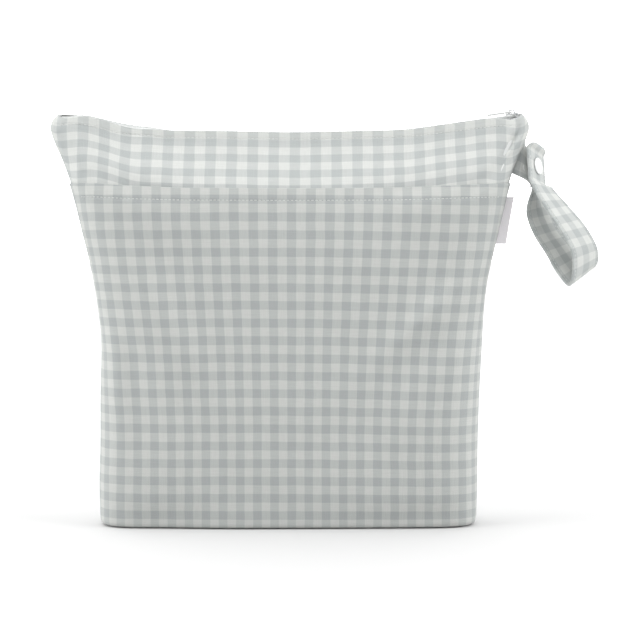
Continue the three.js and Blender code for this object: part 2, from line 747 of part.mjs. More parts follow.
// The side label: a bare ribbon folded double, open at the seam.
function labelGeometry() {
  const top = shellPoint(1, -1, labelTop / bagHeight, 0);
  const bottom = shellPoint(1, -1, (labelTop - labelHeight) / bagHeight, 0);
  const leaf = labelThickness;
  const outlineTo = (reach) => [
    [0, -leaf * 1.5],
    [reach - leaf, -leaf * 1.5],
    [reach, -leaf * 0.7],
    [reach, leaf * 0.7],
    [reach - leaf, leaf * 1.5],
    [0, leaf * 1.5],
    [0, leaf * 0.5],
    [reach - leaf * 2, leaf * 0.5],
    [reach - leaf * 2, -leaf * 0.5],
    [0, -leaf * 0.5],
  ];
  const stationAt = (side, z, reach) => (
    outlineTo(reach).map(([x, y]) => new THREE.Vector3(side.x + seatGap + x, y, z))
  );
  return barGeometry([
    stationAt(bottom, labelTop - labelHeight, labelShows),
    stationAt(top, labelTop, labelShows - labelLean),
  ]);
}

// Materials and assembly

function finish(color, roughness, metalness = 0) {
  return new THREE.MeshStandardMaterial({ color, roughness, metalness });
}

const gingham = finish('#d3d8d9', 0.85);
const zipWhite = finish('#f2f3f2', 0.7);
const studWhite = finish('#f4f6f6', 0.35);
const ribbonWhite = finish('#ebe9ee', 0.8);
const sliderMetal = finish('#c9cbcd', 0.3, 1);

function piece(name, geometry, material) {
  const mesh = new THREE.Mesh(geometry, material);
  mesh.name = name;
  return mesh;
}

const bag = new THREE.Group();
bag.add(piece('bag_body', bodyGeometry(), gingham));
bag.add(piece('front_pocket', pocketGeometry(), gingham));
bag.add(piece('zip_tape_front', tapeGeometry(-1), zipWhite));
bag.add(piece('zip_tape_back', tapeGeometry(1), zipWhite));
bag.add(piece('zip_chain', chainGeometry(), zipWhite));

const slider = sliderFrame();
slider.add(piece('zip_slider', sliderGeometry(), sliderMetal));
const pull = piece('zip_pull', pullGeometry(), zipWhite);
pull.position.z = pivotHeight;
slider.add(pull);
bag.add(slider);

bag.add(piece('carry_strap', strapGeometry(), gingham));
const stud = studFrame();
const studAxes = new THREE.Matrix4().makeBasis(
  stud.across,
  new THREE.Vector3().crossVectors(stud.axis, stud.across),
  stud.axis,
);
const studGroup = new THREE.Group();
studGroup.quaternion.setFromRotationMatrix(studAxes);
studGroup.position.copy(stud.middle);
for (const [name, geometry, height] of studPieces()) {
  const mesh = piece(name, geometry, studWhite);
  mesh.position.z = height;
  studGroup.add(mesh);
}
bag.add(studGroup);
bag.add(piece('side_label', labelGeometry(), ribbonWhite));

export default bag;
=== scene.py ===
"""A gingham wet bag that stands zipped on a pale floor: shell, slip pocket, coil zip, carry strap with a
press stud, and a bare side label. Sizes are in millimetres here and in metres in Blender."""

import math

import bmesh
import bpy
import numpy as np
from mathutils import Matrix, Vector


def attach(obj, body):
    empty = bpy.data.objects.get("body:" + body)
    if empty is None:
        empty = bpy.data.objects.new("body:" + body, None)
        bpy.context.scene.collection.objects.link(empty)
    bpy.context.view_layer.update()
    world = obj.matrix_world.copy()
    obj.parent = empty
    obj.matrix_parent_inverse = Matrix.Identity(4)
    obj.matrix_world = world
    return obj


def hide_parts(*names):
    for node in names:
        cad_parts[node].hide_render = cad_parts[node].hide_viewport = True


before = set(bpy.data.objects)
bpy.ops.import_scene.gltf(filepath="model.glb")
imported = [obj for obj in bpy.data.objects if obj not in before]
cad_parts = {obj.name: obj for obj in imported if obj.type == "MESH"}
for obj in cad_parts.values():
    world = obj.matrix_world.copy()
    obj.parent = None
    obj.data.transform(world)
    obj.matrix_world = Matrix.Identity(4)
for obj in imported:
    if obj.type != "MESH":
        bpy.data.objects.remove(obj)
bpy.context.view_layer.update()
MM = 0.001

# The camera
CAMERA_LENS = 110
CAMERA_AWAY = 1428
CAMERA_ELEVATION = math.radians(3.5)
CAMERA_AIM = (22.6, 0, 148.4)

camera = bpy.data.objects.new("camera", bpy.data.cameras.new("camera"))
bpy.context.collection.objects.link(camera)
bpy.context.scene.camera = camera
camera.data.lens = CAMERA_LENS
away = Vector((0, -math.cos(CAMERA_ELEVATION), math.sin(CAMERA_ELEVATION)))
camera.location = (Vector(CAMERA_AIM) + away * CAMERA_AWAY) * MM
camera.rotation_euler = (-away).to_track_quat("-Z", "Y").to_euler()
camera.data.clip_end = 50

# Sizes
BAG_WIDTH = 341
BAG_HEIGHT = 297
BELLY_DEPTH = 78
MOUTH_DEPTH = 14
BASE_EDGE = 5
CLOTH = 1.2
FOLD_DEPTH = 5
FOLD_FADE = 36
DIP_FROM = 208
DIP_SHARPNESS = 1.5
SIDE_ROUNDNESS = 2.2
POCKET_HEIGHT = 247
HEM_WIDTH = 9
MOUTH_GAP = 4.5
MOUTH_GAP_DEPTH = 34
TOPSTITCH_DROP = 6
CHECK_PAIR = 12.7
SEAT_GAP = 0.3
TAPE_THICKNESS = 0.6
TAPE_DROP = 9
TAPE_END_GAP = 6
RIM_DEPTH = 0.3
CHAIN_WIDTH = 4.2
CHAIN_HEIGHT = 2
COIL_PITCH = 1.5
COIL_WIRE = 0.33
SLIDER_LENGTH = 9.2
SLIDER_WIDTH = 7
SLIDER_PLATE = 1
SLIDER_POST = 2.2
SLIDER_TAIL_WIDTH = 5
SLIDER_NOSE_WIDTH = 4.2
SLIDER_FROM_END = 2.5
BAIL_LENGTH = 4.8
BAIL_WIDTH = 1.6
BAIL_BAR = 0.9
PULL_LENGTH = 18.4
PULL_WIDTH = 4.8
PULL_THICKNESS = 1.2
PULL_PIVOT_BAR = 0.8
RUNNING_GAP = 0.35
STRAP_WIDTH = 26
STRAP_THICKNESS = 2
STRAP_REACH = 48.7
STRAP_DROP = 87.5
STRAP_FORWARD = 14
STRAP_HEIGHT = 268
STRAP_END_ROUND = 6
STRAP_SEWN_IN = 1.2
STRAP_PAIR = 13
STRAP_PHASE = 0.5
STUD_CAP_RADIUS = 6.2
STUD_CAP_THICKNESS = 1.6
STUD_RING_RADIUS = 5.2
STUD_RING_THICKNESS = 1.8
STUD_BASE_THICKNESS = 1
STUD_POST_RADIUS = 2.1
PRESSED_MARGIN = 5
PRESSED_EASE = 3.4
LABEL_HEIGHT = 34
LABEL_SHOWS = 8.5
LABEL_LEAN = 2.5
LABEL_THICKNESS = 0.45
LABEL_TOP = 238
HALF_WIDTH = BAG_WIDTH / 2
BELLY_HALF = BELLY_DEPTH / 2
MOUTH_HALF = MOUTH_DEPTH / 2

# height, width, depth, shift, square: the shell's sections from the base up
SHELL_SECTIONS = [
    (0.018, 0.8, 0.89, -0.003, 16),
    (0.1, 0.803, 0.95, -0.003, 16),
    (0.2, 0.801, 0.98, 0, 15),
    (0.32, 0.803, 1, 0.004, 14),
    (0.45, 0.806, 1, 0.012, 13),
    (0.53, 0.817, 0.99, 0.009, 12),
    (0.6, 0.834, 0.98, 0.007, 11),
    (0.66, 0.857, 0.96, 0.007, 10),
    (0.72, 0.882, 0.92, 0.006, 10),
    (0.78, 0.907, 0.85, 0.006, 9),
    (0.825, 0.928, 0.75, 0.005, 9),
    (0.86, 0.948, 0.6, 0.004, 9),
    (0.895, 0.972, 0.41, 0.004, 10),
    (0.93, 1, 0.22, 0.004, 12),
    (0.965, 1.02, 0.07, 0.004, 18),
    (0.985, 1.012, 0.02, 0.004, 21),
    (1, 0.99, 0, 0.004, 24),
]

# across, level: the line of the mouth
MOUTH_LINE = [
    (-1, 1.002),
    (-0.88, 1),
    (-0.8, 0.99),
    (-0.7, 0.978),
    (-0.6, 0.971),
    (-0.5, 0.963),
    (-0.3, 0.961),
    (0, 0.958),
    (0.3, 0.961),
    (0.5, 0.965),
    (0.65, 0.976),
    (0.8, 0.988),
    (0.9, 0.996),
    (1, 1.004),
]

# side, across, level, long, broad, turn, rise: the broad soft folds
BROAD_FOLDS = [
    (-1, -0.7, 0.56, 0.24, 0.045, -54, 1.1),
    (-1, -0.85, 0.42, 0.2, 0.04, -68, -0.8),
    (-1, -0.64, 0.2, 0.14, 0.06, -80, 0.4),
    (-1, 0.73, 0.535, 0.17, 0.032, 37, 0.9),
    (-1, 0.79, 0.47, 0.16, 0.035, 37, -0.5),
    (-1, 0.68, 0.3, 0.3, 0.1, 84, 0.5),
    (-1, 0.02, 0.72, 0.26, 0.14, 90, -0.5),
    (1, -0.45, 0.72, 0.3, 0.08, -50, 0.7),
    (1, 0.5, 0.66, 0.3, 0.07, 48, -0.6),
    (1, 0.05, 0.45, 0.34, 0.16, 85, 0.4),
]

# side, across, level, long, broad, turn, rise: finer creases of the cloth alone
CREASES = [
    (-1, 0.962, 0.93, 0.045, 0.008, 66, 0.7),
    (-1, 0.938, 0.94, 0.05, 0.008, 76, -0.6),
    (-1, 0.985, 0.92, 0.04, 0.007, 60, -0.4),
    (-1, -0.965, 0.9, 0.05, 0.01, 80, -0.3),
    (-1, -0.93, 0.87, 0.06, 0.008, 68, 0.2),
    (-1, 0.86, 0.84, 0.08, 0.02, 40, -0.3),
    (-1, -0.9, 0.34, 0.13, 0.035, -84, 0.4),
    (-1, 0.84, 0.36, 0.2, 0.05, 86, 0.4),
    (-1, -0.66, 0.02, 0.12, 0.035, 0, -0.6),
    (-1, 0.6, 0.02, 0.26, 0.035, 0, -0.6),
    (-1, 0.62, 0.835, 0.22, 0.03, 4, -0.5),
    (-1, -0.8, 0.84, 0.12, 0.03, -6, -0.5),
    (1, 0.95, 0.93, 0.06, 0.008, 70, 0.4),
    (1, -0.95, 0.92, 0.06, 0.008, -70, 0.4),
    (1, -0.75, 0.78, 0.12, 0.02, -45, -0.3),
    (1, 0.72, 0.8, 0.12, 0.02, 45, -0.3),
]

# step, out, back, down, turn, tilt: the strap's middle line and the direction of its width
STRAP_ROUTE = [
    (0, 0, 0, 0, 0, 70),
    (1, 0.2, 0.2, 0.09, 40, 84),
    (2, 0.29, 0.62, 0.15, 66, 44),
    (3, 0.31, 0.72, 0.26, 72, 8),
    (4, 0.316, 0.29, 0.442, 46, 7),
    (5, 0.441, 0, 0.623, 43, 10),
    (6, 0.612, -0.14, 0.775, 40, 14),
    (7, 0.799, -0.36, 0.917, 34, 24),
    (8, 0.93, -0.58, 0.995, 28, 31),
    (9, 0.985, -0.76, 0.965, 27, 31),
    (10, 1, -0.86, 0.886, 35, 21),
    (11, 0.959, -0.93, 0.767, 41, 11),
    (12, 0.789, -0.86, 0.594, 43, 9),
    (13, 0.581, -0.71, 0.438, 48, 6),
    (14, 0.365, -0.43, 0.265, 49, -7),
    (15, 0.278, -0.02, 0.088, 57, -16),
    (16, 0.325, 0.16, -0.09, 58, -16),
]
STUD_STEP = 15
STUB_TO = 8.5

# across, long, rise: where the pocket's mouth stands open
POCKET_OPENINGS = [(-0.66, 0.26, 1), (0.7, 0.24, 0.8)]


def smooth_read(table, place):
    """The columns of a table at the places given: one cubic from row to row, whose slope at a row is the
    slope between that row's two neighbours."""
    rows = np.asarray(table, float)
    at, columns = rows[:, 0], rows[:, 1:]
    count = len(at)
    before = np.maximum(np.arange(count) - 1, 0)
    after = np.minimum(np.arange(count) + 1, count - 1)
    slope = (columns[after] - columns[before]) / (at[after] - at[before])[:, None]
    place = np.clip(np.asarray(place, float), at[0], at[-1])
    row = np.clip(np.searchsorted(at, place, side="right") - 1, 0, count - 2)
    span = (at[row + 1] - at[row])[..., None]
    t = (place - at[row])[..., None] / span
    ease = t * t * (3 - 2 * t)
    leave = t * (1 - t) ** 2 * span * slope[row]
    arrive = t * t * (1 - t) * span * slope[row + 1]
    return columns[row] * (1 - ease) + columns[row + 1] * ease + leave - arrive


def unit(vectors):
    """The vectors at length 1."""
    return vectors / np.maximum(np.linalg.norm(vectors, axis=-1, keepdims=True), 1e-9)


def waves(x, z, seed, count, longest, shortest):
    """A gentle random relief between about -1 and 1: a sum of plane waves in chosen directions."""
    rng = np.random.default_rng(seed)
    length = np.exp(rng.uniform(math.log(shortest), math.log(longest), count))
    turn = rng.uniform(0, math.pi, count)
    phase = rng.uniform(0, 2 * math.pi, count)
    total = np.zeros(np.broadcast(x, z).shape)
    for wave in range(count):
        along = x * math.cos(turn[wave]) + z * math.sin(turn[wave])
        total += np.sin(2 * math.pi * along / length[wave] + phase[wave])
    return total / math.sqrt(count)


# The shell's shape


def mouth_dip(share, level):
    """How far a point sinks under the dip of the mouth: the dip times a fade from the pocket's hem up."""
    fade = np.clip((level * BAG_HEIGHT - DIP_FROM) / (BAG_HEIGHT - DIP_FROM), 0, 1)
    return (smooth_read(MOUTH_LINE, share)[..., 0] - 1) * BAG_HEIGHT * fade**DIP_SHARPNESS


def fold_rise(folds, side, share, level):
    """The sum of long soft ridges, each exp(-(along/long)^2 - (across/broad)^2) about its own middle."""
    total = np.zeros(np.broadcast(share, level).shape)
    for fold_side, across, height, long, broad, turn, rise in folds:
        if fold_side != side:
            continue
        dx = (share - across) * HALF_WIDTH / BAG_HEIGHT
        dz = level - height
        c, s = math.cos(math.radians(turn)), math.sin(math.radians(turn))
        along = (dx * c + dz * s) / long
        wide = (dz * c - dx * s) / broad
        total += rise * np.exp(-(along**2) - wide**2)
    return FOLD_DEPTH * total


def shell_point(share, side, level, proud=0.0, relief=0.0):
    """A point of the shell in millimetres: its section is a box with rounded ends, y = half depth times
    (1 - |share|^square)^(1/roundness), with folds and relief added along y. The broad folds die away at the
    base, under the zip and towards the seams."""
    share, level = np.broadcast_arrays(np.asarray(share, float), np.asarray(level, float))
    width, depth, shift, square = np.moveaxis(smooth_read(SHELL_SECTIONS, level), -1, 0)
    half_y = MOUTH_HALF + (BELLY_HALF - MOUTH_HALF) * depth
    rounding = np.maximum(1 - np.abs(share) ** square, 0) ** (1 / SIDE_ROUNDNESS)
    over_zip = np.clip((1 - level) * BAG_HEIGHT / FOLD_FADE, 0, 1)
    over_base = np.clip(level * BAG_HEIGHT / FOLD_FADE, 0, 1)
    folds = fold_rise(BROAD_FOLDS, side, share, level) * over_zip * over_base * (1 - np.abs(share) ** 6)
    y = side * ((half_y + proud) * rounding + folds + relief)
    x = HALF_WIDTH * shift + share * (HALF_WIDTH * width + proud)
    z = level * BAG_HEIGHT + mouth_dip(share, level)
    return np.stack([x, y, z], axis=-1)


def even_shares(count):
    """Shares across a face whose steps along the cloth are even over the front and finer at the seams."""
    fine = np.sin(np.linspace(-math.pi / 2, math.pi / 2, 4001))
    x = fine * HALF_WIDTH * 0.81
    y = BELLY_HALF * np.maximum(1 - np.abs(fine) ** 13, 0) ** (1 / SIDE_ROUNDNESS)
    run = np.concatenate([[0], np.cumsum(np.hypot(np.diff(x), np.diff(y)))])
    t = np.linspace(-1, 1, count)
    place = (np.sin(t * math.pi / 2) * 0.25 + t * 0.75 + 1) / 2
    shares = np.interp(place * run[-1], run, fine)
    shares[0], shares[-1] = -1, 1
    return shares


# height, pair: how wide a pair of checks lies across the pocket, as the filled front draws the cloth in
POCKET_PAIRS = [
    (0, 12.3),
    (70, 12.22),
    (100, 12.38),
    (130, 12.59),
    (158, 12.93),
    (187, 13.27),
    (212, 13.55),
    (232, 13.69),
    (300, 13.8),
]
POCKET_COLUMN = 2.4
POCKET_ROW = 123.4
POCKET_ROW_PAIR = 12.55
POCKET_HALF_WIDTH = 137
ROW_SAG = 2.4
ROW_SAG_HEIGHT = 260
BAND_COLUMN = 4.5
BAND_PAIR = 15.07
BAND_ROW = 19.1
BAND_ROW_PAIR = 10.9
BAND_STRETCH = 0.0014


def run_across(points):
    """The way along each row from x = 0, in millimetres: x itself over the face, and the length of the
    cloth where it turns the corner to the side seam."""
    step = np.diff(points, axis=1)
    corner = np.clip((np.abs(shares[1:] + shares[:-1]) / 2 - 0.88) / 0.06, 0, 1)
    length = np.sqrt(step[..., 0] ** 2 + (step[..., 1] * corner) ** 2)
    run = np.concatenate([np.zeros((len(points), 1)), np.cumsum(length, axis=1)], axis=1)
    middle = points.shape[1] // 2
    return run - run[:, middle : middle + 1] + points[:, middle : middle + 1, 0]


def pocket_checks(points):
    """Pattern coordinates on the pocket, in pairs of checks: the way across over the pair at that height,
    and the height over the pair upwards. The rows hang a little lower towards the right."""
    run, height = run_across(points), points[..., 2]
    pair = smooth_read(POCKET_PAIRS, height)[..., 0]
    place = points[..., 0] / POCKET_HALF_WIDTH
    slack = np.sin(math.pi * np.clip(height / ROW_SAG_HEIGHT, 0, 1)) ** 0.7
    sag = ROW_SAG * (0.6 * place + 0.9 * place**2 - 0.4 * place**4) * slack
    across = (run - POCKET_COLUMN) / pair
    up = (height + sag - POCKET_ROW) / POCKET_ROW_PAIR
    return np.stack([across, up], axis=-1) + 0.5


def band_checks(points, rim):
    """Pattern coordinates on the shell, in pairs of checks, counted down from the rim."""
    run = (run_across(points) - BAND_COLUMN) / BAND_PAIR
    down = rim[..., 2] - points[..., 2]
    return np.stack([run + BAND_STRETCH * run**2, (BAND_ROW - down) / BAND_ROW_PAIR], axis=-1) + 0.5


# Meshes


def patch(points, pattern=(0, 0), flip=False, which=0):
    """A grid of points in millimetres, or many grids of one size, with its pattern coordinates, whether it
    is turned over, and which of the piece's materials it has."""
    return points, np.broadcast_to(pattern, points.shape[:-1] + (2,)), flip, which


def make_piece(name, patches, materials, replaces=None, body="bag"):
    """One mesh from patches. Each grid gives the four-sided faces between its neighbouring points, borders
    that meet are merged, and the faces are turned outwards."""
    points, patterns, faces, marks, first = [], [], [], [], 0
    for grid, pattern, flip, which in patches:
        rows, columns = grid.shape[-3:-1]
        i, j = np.meshgrid(np.arange(rows - 1), np.arange(columns - 1), indexing="ij")
        corner = (i * columns + j).ravel()
        quads = np.stack([corner, corner + 1, corner + columns + 1, corner + columns], axis=1)
        count = grid.size // (rows * columns * 3)
        starts = first + np.arange(count) * rows * columns
        every = (quads[None, :, ::-1] if flip else quads[None]) + starts[:, None, None]
        faces.append(every.reshape(-1, 4))
        marks.append(np.full(count * len(quads), which))
        points.append(grid.reshape(-1, 3))
        patterns.append(pattern.reshape(-1, 2))
        first += count * rows * columns
    points, patterns = np.concatenate(points), np.concatenate(patterns)
    faces, marks = np.concatenate(faces), np.concatenate(marks)
    mesh = bpy.data.meshes.new(name)
    mesh.from_pydata((points * MM).tolist(), [], faces.tolist())
    mesh.polygons.foreach_set("material_index", marks.astype(np.int32))
    layer = mesh.uv_layers.new(name="cloth")
    layer.data.foreach_set("uv", patterns[faces.ravel()].astype(np.float32).ravel())
    shape = bmesh.new()
    shape.from_mesh(mesh)
    bmesh.ops.remove_doubles(shape, verts=shape.verts, dist=0.02 * MM)
    bmesh.ops.dissolve_degenerate(shape, edges=shape.edges, dist=1e-7)
    bmesh.ops.recalc_face_normals(shape, faces=shape.faces)
    shape.to_mesh(mesh)
    shape.free()
    mesh.polygons.foreach_set("use_smooth", np.ones(len(mesh.polygons), bool))
    for material in materials:
        mesh.materials.append(material)
    piece = bpy.data.objects.new(name, mesh)
    bpy.context.collection.objects.link(piece)
    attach(piece, body)
    if replaces:
        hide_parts(replaces)
    return piece


def softened(outline, radius, steps=3):
    """A closed outline with each corner replaced by a short parabola that begins and ends a radius away."""
    corner = np.asarray(outline, float)
    before, after = np.roll(corner, 1, axis=0) - corner, np.roll(corner, -1, axis=0) - corner
    start = corner + before * np.minimum(radius / np.linalg.norm(before, axis=1, keepdims=True), 0.45)
    end = corner + after * np.minimum(radius / np.linalg.norm(after, axis=1, keepdims=True), 0.45)
    t = np.linspace(0, 1, steps + 1)[None, :, None]
    curve = start[:, None] * (1 - t) ** 2 + corner[:, None] * 2 * t * (1 - t) + end[:, None] * t**2
    return curve.reshape(-1, 2)


def closed(outline):
    """The outline with its first point again at its end."""
    return np.concatenate([outline, outline[:1]])


def inset(outline, depth):
    """The outline moved inwards by a depth, square to itself, for an outline that runs anticlockwise."""
    way = unit(np.roll(outline, -1, axis=0) - np.roll(outline, 1, axis=0))
    return outline + depth * np.stack([-way[:, 1], way[:, 0]], axis=1)


def to_middle(ring):
    """A ring drawn together on its own middle, which closes an end."""
    return np.broadcast_to(ring.mean(axis=0), ring.shape)


def level_ring(outline, height):
    """A closed ring of points at one height over an outline."""
    return np.column_stack([closed(outline), np.full(len(outline) + 1, height)])


def swept(middles, across, faces, outline):
    """A closed outline carried along a path: each point is the path's point plus the outline's first number
    along the width and its second along the face. The ends close on their own middles."""
    outline = np.broadcast_to(outline, (len(middles),) + np.shape(outline)[-2:])
    wall = middles[:, None] + outline[..., :1] * across[:, None] + outline[..., 1:] * faces[:, None]
    return np.concatenate([to_middle(wall[0])[None], wall, to_middle(wall[-1])[None]])


def plate(outline, low, high, edge):
    """A flat plate between two heights over an outline, with a rounded edge, closed at its middle."""
    rings = [
        level_ring(inset(outline, edge), low),
        level_ring(inset(outline, edge * 0.3), low + edge * 0.3),
        level_ring(outline, low + edge),
        level_ring(outline, high - edge),
        level_ring(inset(outline, edge * 0.3), high - edge * 0.3),
        level_ring(inset(outline, edge), high),
    ]
    middle = outline.mean(axis=0)
    ends = [np.broadcast_to(np.append(middle, height), rings[0].shape) for height in (low, high)]
    return np.stack([ends[0], *rings, ends[1]])


def turned(outline, middle, axes, sides=40):
    """A profile of radius and height turned about the third axis through a middle."""
    profile = np.asarray(outline, float)
    angle = np.linspace(0, 2 * math.pi, sides + 1)[None, :, None]
    spoke = np.cos(angle) * axes[0] + np.sin(angle) * axes[1]
    return middle + profile[:, None, :1] * spoke + profile[:, None, 1:] * axes[2]


def stitch_row(line, outward, length=2.3, gap=0.6, radius=0.24):
    """Stitches along a line, all of one size: a capsule's radius is r (1 - t^4)^(1/2) for t from -1 to 1,
    and its ends dive into the cloth by the same t^4."""
    step = np.linalg.norm(np.diff(line, axis=0), axis=1)
    run = np.concatenate([[0], np.cumsum(step)])
    starts = np.arange(gap, run[-1] - length, length + gap)
    t = np.linspace(-1, 1, 7)
    at = starts[:, None] + length * (t + 1) / 2
    middle = np.stack([np.interp(at, run, line[:, k]) for k in range(3)], axis=-1)
    up = unit(np.stack([np.interp(at, run, outward[:, k]) for k in range(3)], axis=-1))
    side = unit(np.cross(np.gradient(middle, axis=1), up))
    angle = np.linspace(0, 2 * math.pi, 7)[:, None]
    spoke = side[..., None, :] * np.cos(angle) + up[..., None, :] * np.sin(angle)
    thick = radius * np.sqrt(np.maximum(1 - t**4, 0))
    lift = radius * (0.45 - 1.2 * t**4)
    core = middle + up * lift[:, None]
    return core[..., None, :] + spoke * thick[:, None, None]


def outward_of(rows):
    """The unit directions square to the middle one of three neighbouring rows of points, away from y = 0."""
    along = np.gradient(rows[1], axis=0)
    square = unit(np.cross(along, rows[2] - rows[0]))
    return square * np.sign(square[:, 1:2] * rows[1][:, 1:2] + 1e-9)


# Materials


def colour(text):
    """An sRGB hex value as linear red, green, blue and alpha."""
    channels = [int(text[i : i + 2], 16) / 255 for i in (1, 3, 5)]
    return tuple(c / 12.92 if c <= 0.04045 else ((c + 0.055) / 1.055) ** 2.4 for c in channels) + (1,)


def new_material(name, **finish):
    """A material whose shader has these constant values, by their socket names with _ for a space."""
    material = bpy.data.materials.new(name)
    material.use_nodes = True
    shader = material.node_tree.nodes["Principled BSDF"]
    for key, value in finish.items():
        shader.inputs[key.replace("_", " ")].default_value = value
    return material, shader


def add(material, kind, settings=None, **links):
    """Adds a node, gives it its settings, and links or sets its named inputs. A key such as i0 means the
    input with that number."""
    tree = material.node_tree
    node = tree.nodes.new("ShaderNode" + kind)
    for key, value in (settings or {}).items():
        setattr(node, key, value)
    for key, value in links.items():
        socket = node.inputs[int(key[1:])] if key[0] == "i" and key[1:].isdigit() else node.inputs[key]
        if isinstance(value, bpy.types.NodeSocket):
            tree.links.new(value, socket)
        else:
            socket.default_value = value
    return node


def join(material, output, socket):
    """Links an output to a socket."""
    material.node_tree.links.new(output, socket)


YARN_TINT = (0.822, 0.836, 0.848, 1)
# Real threads lie 0.4 mm apart. They are drawn 0.85 mm apart, so that the weave still shows at this size.
THREAD_STEP = 0.85


def woven_gingham(name, white):
    """Yarn-dyed plain-weave cotton in quarter-inch gingham, by the colour of its white yarn. The eye gets
    matt cloth in three tones, where white and blue-grey yarns cross, with slubs, soft check edges and a
    faint sheen."""
    material, shader = new_material(
        name,
        Roughness=0.88,
        Specular_IOR_Level=0.25,
        Sheen_Weight=0.12,
        Sheen_Roughness=0.5,
    )
    place = add(material, "UVMap", {"uv_map": "cloth"}).outputs[0]
    drift = add(material, "TexNoise", {"noise_dimensions": "2D"}, Vector=place, Scale=0.9, Detail=2)
    sway = add(
        material,
        "VectorMath",
        {"operation": "MULTIPLY_ADD"},
        i0=drift.outputs["Color"],
        i1=(0.06, 0.06, 0),
        i2=place,
    )
    centred = add(material, "VectorMath", {"operation": "SUBTRACT"}, i0=sway.outputs[0], i1=(0.03, 0.03, 0))
    parts = add(material, "SeparateXYZ", i0=centred.outputs[0])
    stripes, slubs, threads = [], [], []
    for axis in (0, 1):
        swing = add(material, "Math", {"operation": "PINGPONG"}, i0=parts.outputs[axis], i1=0.5)
        edge = add(
            material,
            "MapRange",
            {"interpolation_type": "SMOOTHSTEP"},
            i0=swing.outputs[0],
            i1=0.23,
            i2=0.27,
        )
        stripes.append(edge.outputs[0])
        stretch = (60, 2.5, 1) if axis == 0 else (2.5, 60, 1)
        lines = add(material, "Mapping", Vector=place, Scale=stretch)
        slub = add(
            material,
            "TexNoise",
            {"noise_dimensions": "2D"},
            Vector=lines.outputs[0],
            Scale=0.35,
            Detail=3,
            Roughness=0.6,
        )
        slubs.append(slub.outputs["Fac"])
        turns = add(
            material,
            "Math",
            {"operation": "MULTIPLY"},
            i0=parts.outputs[axis],
            i1=2 * math.pi * CHECK_PAIR / THREAD_STEP,
        )
        threads.append(add(material, "Math", {"operation": "SINE"}, i0=turns.outputs[0]).outputs[0])
    cloth = colour(white)
    for stripe, slub in zip(stripes, slubs):
        depth = add(material, "Math", {"operation": "MULTIPLY_ADD"}, i0=slub, i1=0.6, i2=0.7)
        strength = add(material, "Math", {"operation": "MULTIPLY"}, i0=stripe, i1=depth.outputs[0])
        layer = add(
            material,
            "Mix",
            {"data_type": "RGBA", "blend_type": "MULTIPLY"},
            i0=strength.outputs[0],
            i6=cloth,
            i7=YARN_TINT,
        )
        cloth = layer.outputs[2]
    both = add(material, "Math", {"operation": "ADD"}, i0=slubs[0], i1=slubs[1])
    crossing = add(material, "Math", {"operation": "MULTIPLY"}, i0=threads[0], i1=threads[1])
    shade = add(
        material,
        "Math",
        {"operation": "MULTIPLY_ADD"},
        i0=crossing.outputs[0],
        i1=0.06,
        i2=both.outputs[0],
    )
    tone = add(material, "MapRange", i0=shade.outputs[0], i1=0.6, i2=1.4, i3=0.945, i4=1.055)
    toned = add(material, "VectorMath", {"operation": "SCALE"}, i0=cloth, Scale=tone.outputs[0])
    join(material, toned.outputs[0], shader.inputs["Base Color"])
    lumps = add(
        material,
        "Math",
        {"operation": "MULTIPLY_ADD"},
        i0=both.outputs[0],
        i1=2.4,
        i2=crossing.outputs[0],
    )
    bump = add(material, "Bump", Height=lumps.outputs[0], Strength=0.3, Distance=0.00025)
    join(material, bump.outputs[0], shader.inputs["Normal"])
    return material


def narrow_weave(name, base, rib_step, rib_depth, roughness, sheen=0.1):
    """A narrow woven trim in one colour, with its pattern coordinates in millimetres: ribs across it, fine
    threads along it and a faint mottle."""
    material, shader = new_material(name, Roughness=roughness, Specular_IOR_Level=0.3, Sheen_Weight=sheen)
    place = add(material, "UVMap", {"uv_map": "cloth"}).outputs[0]
    parts = add(material, "SeparateXYZ", i0=place)
    waves_of = []
    for axis, step in ((0, rib_step * 1.4), (1, rib_step)):
        turns = add(
            material,
            "Math",
            {"operation": "MULTIPLY"},
            i0=parts.outputs[axis],
            i1=2 * math.pi / step,
        )
        waves_of.append(add(material, "Math", {"operation": "SINE"}, i0=turns.outputs[0]).outputs[0])
    height = add(material, "Math", {"operation": "MULTIPLY_ADD"}, i0=waves_of[0], i1=0.5, i2=waves_of[1])
    mottle = add(material, "TexNoise", Vector=place, Scale=1.5, Detail=3)
    level = add(material, "MapRange", i0=mottle.outputs["Fac"], i1=0.3, i2=0.7, i3=0.95, i4=1.0)
    tone = add(material, "VectorMath", {"operation": "SCALE"}, i0=colour(base)[:3], Scale=level.outputs[0])
    join(material, tone.outputs[0], shader.inputs["Base Color"])
    bump = add(material, "Bump", Height=height.outputs[0], Strength=rib_depth, Distance=0.0002)
    join(material, bump.outputs[0], shader.inputs["Normal"])
    return material


def hard_finish(name, base, roughness, grain_mm, **finish):
    """A hard finish by its colour, gloss and grain: the grain wanders in gloss, tone and a shallow bump."""
    material, shader = new_material(name, **finish)
    place = add(material, "TexCoord").outputs["Object"]
    grain = add(material, "TexNoise", Vector=place, Scale=1 / (grain_mm * MM), Detail=3).outputs["Fac"]
    gloss = add(material, "MapRange", i0=grain, i1=0.3, i2=0.7, i3=roughness * 0.85, i4=roughness * 1.15)
    join(material, gloss.outputs[0], shader.inputs["Roughness"])
    level = add(material, "MapRange", i0=grain, i1=0.3, i2=0.7, i3=0.96, i4=1.0)
    tone = add(material, "VectorMath", {"operation": "SCALE"}, i0=colour(base)[:3], Scale=level.outputs[0])
    join(material, tone.outputs[0], shader.inputs["Base Color"])
    bump = add(material, "Bump", Height=grain, Strength=0.08, Distance=0.0001)
    join(material, bump.outputs[0], shader.inputs["Normal"])
    return material


cotton = woven_gingham("laminated_gingham_cotton", "#c2c4c1")
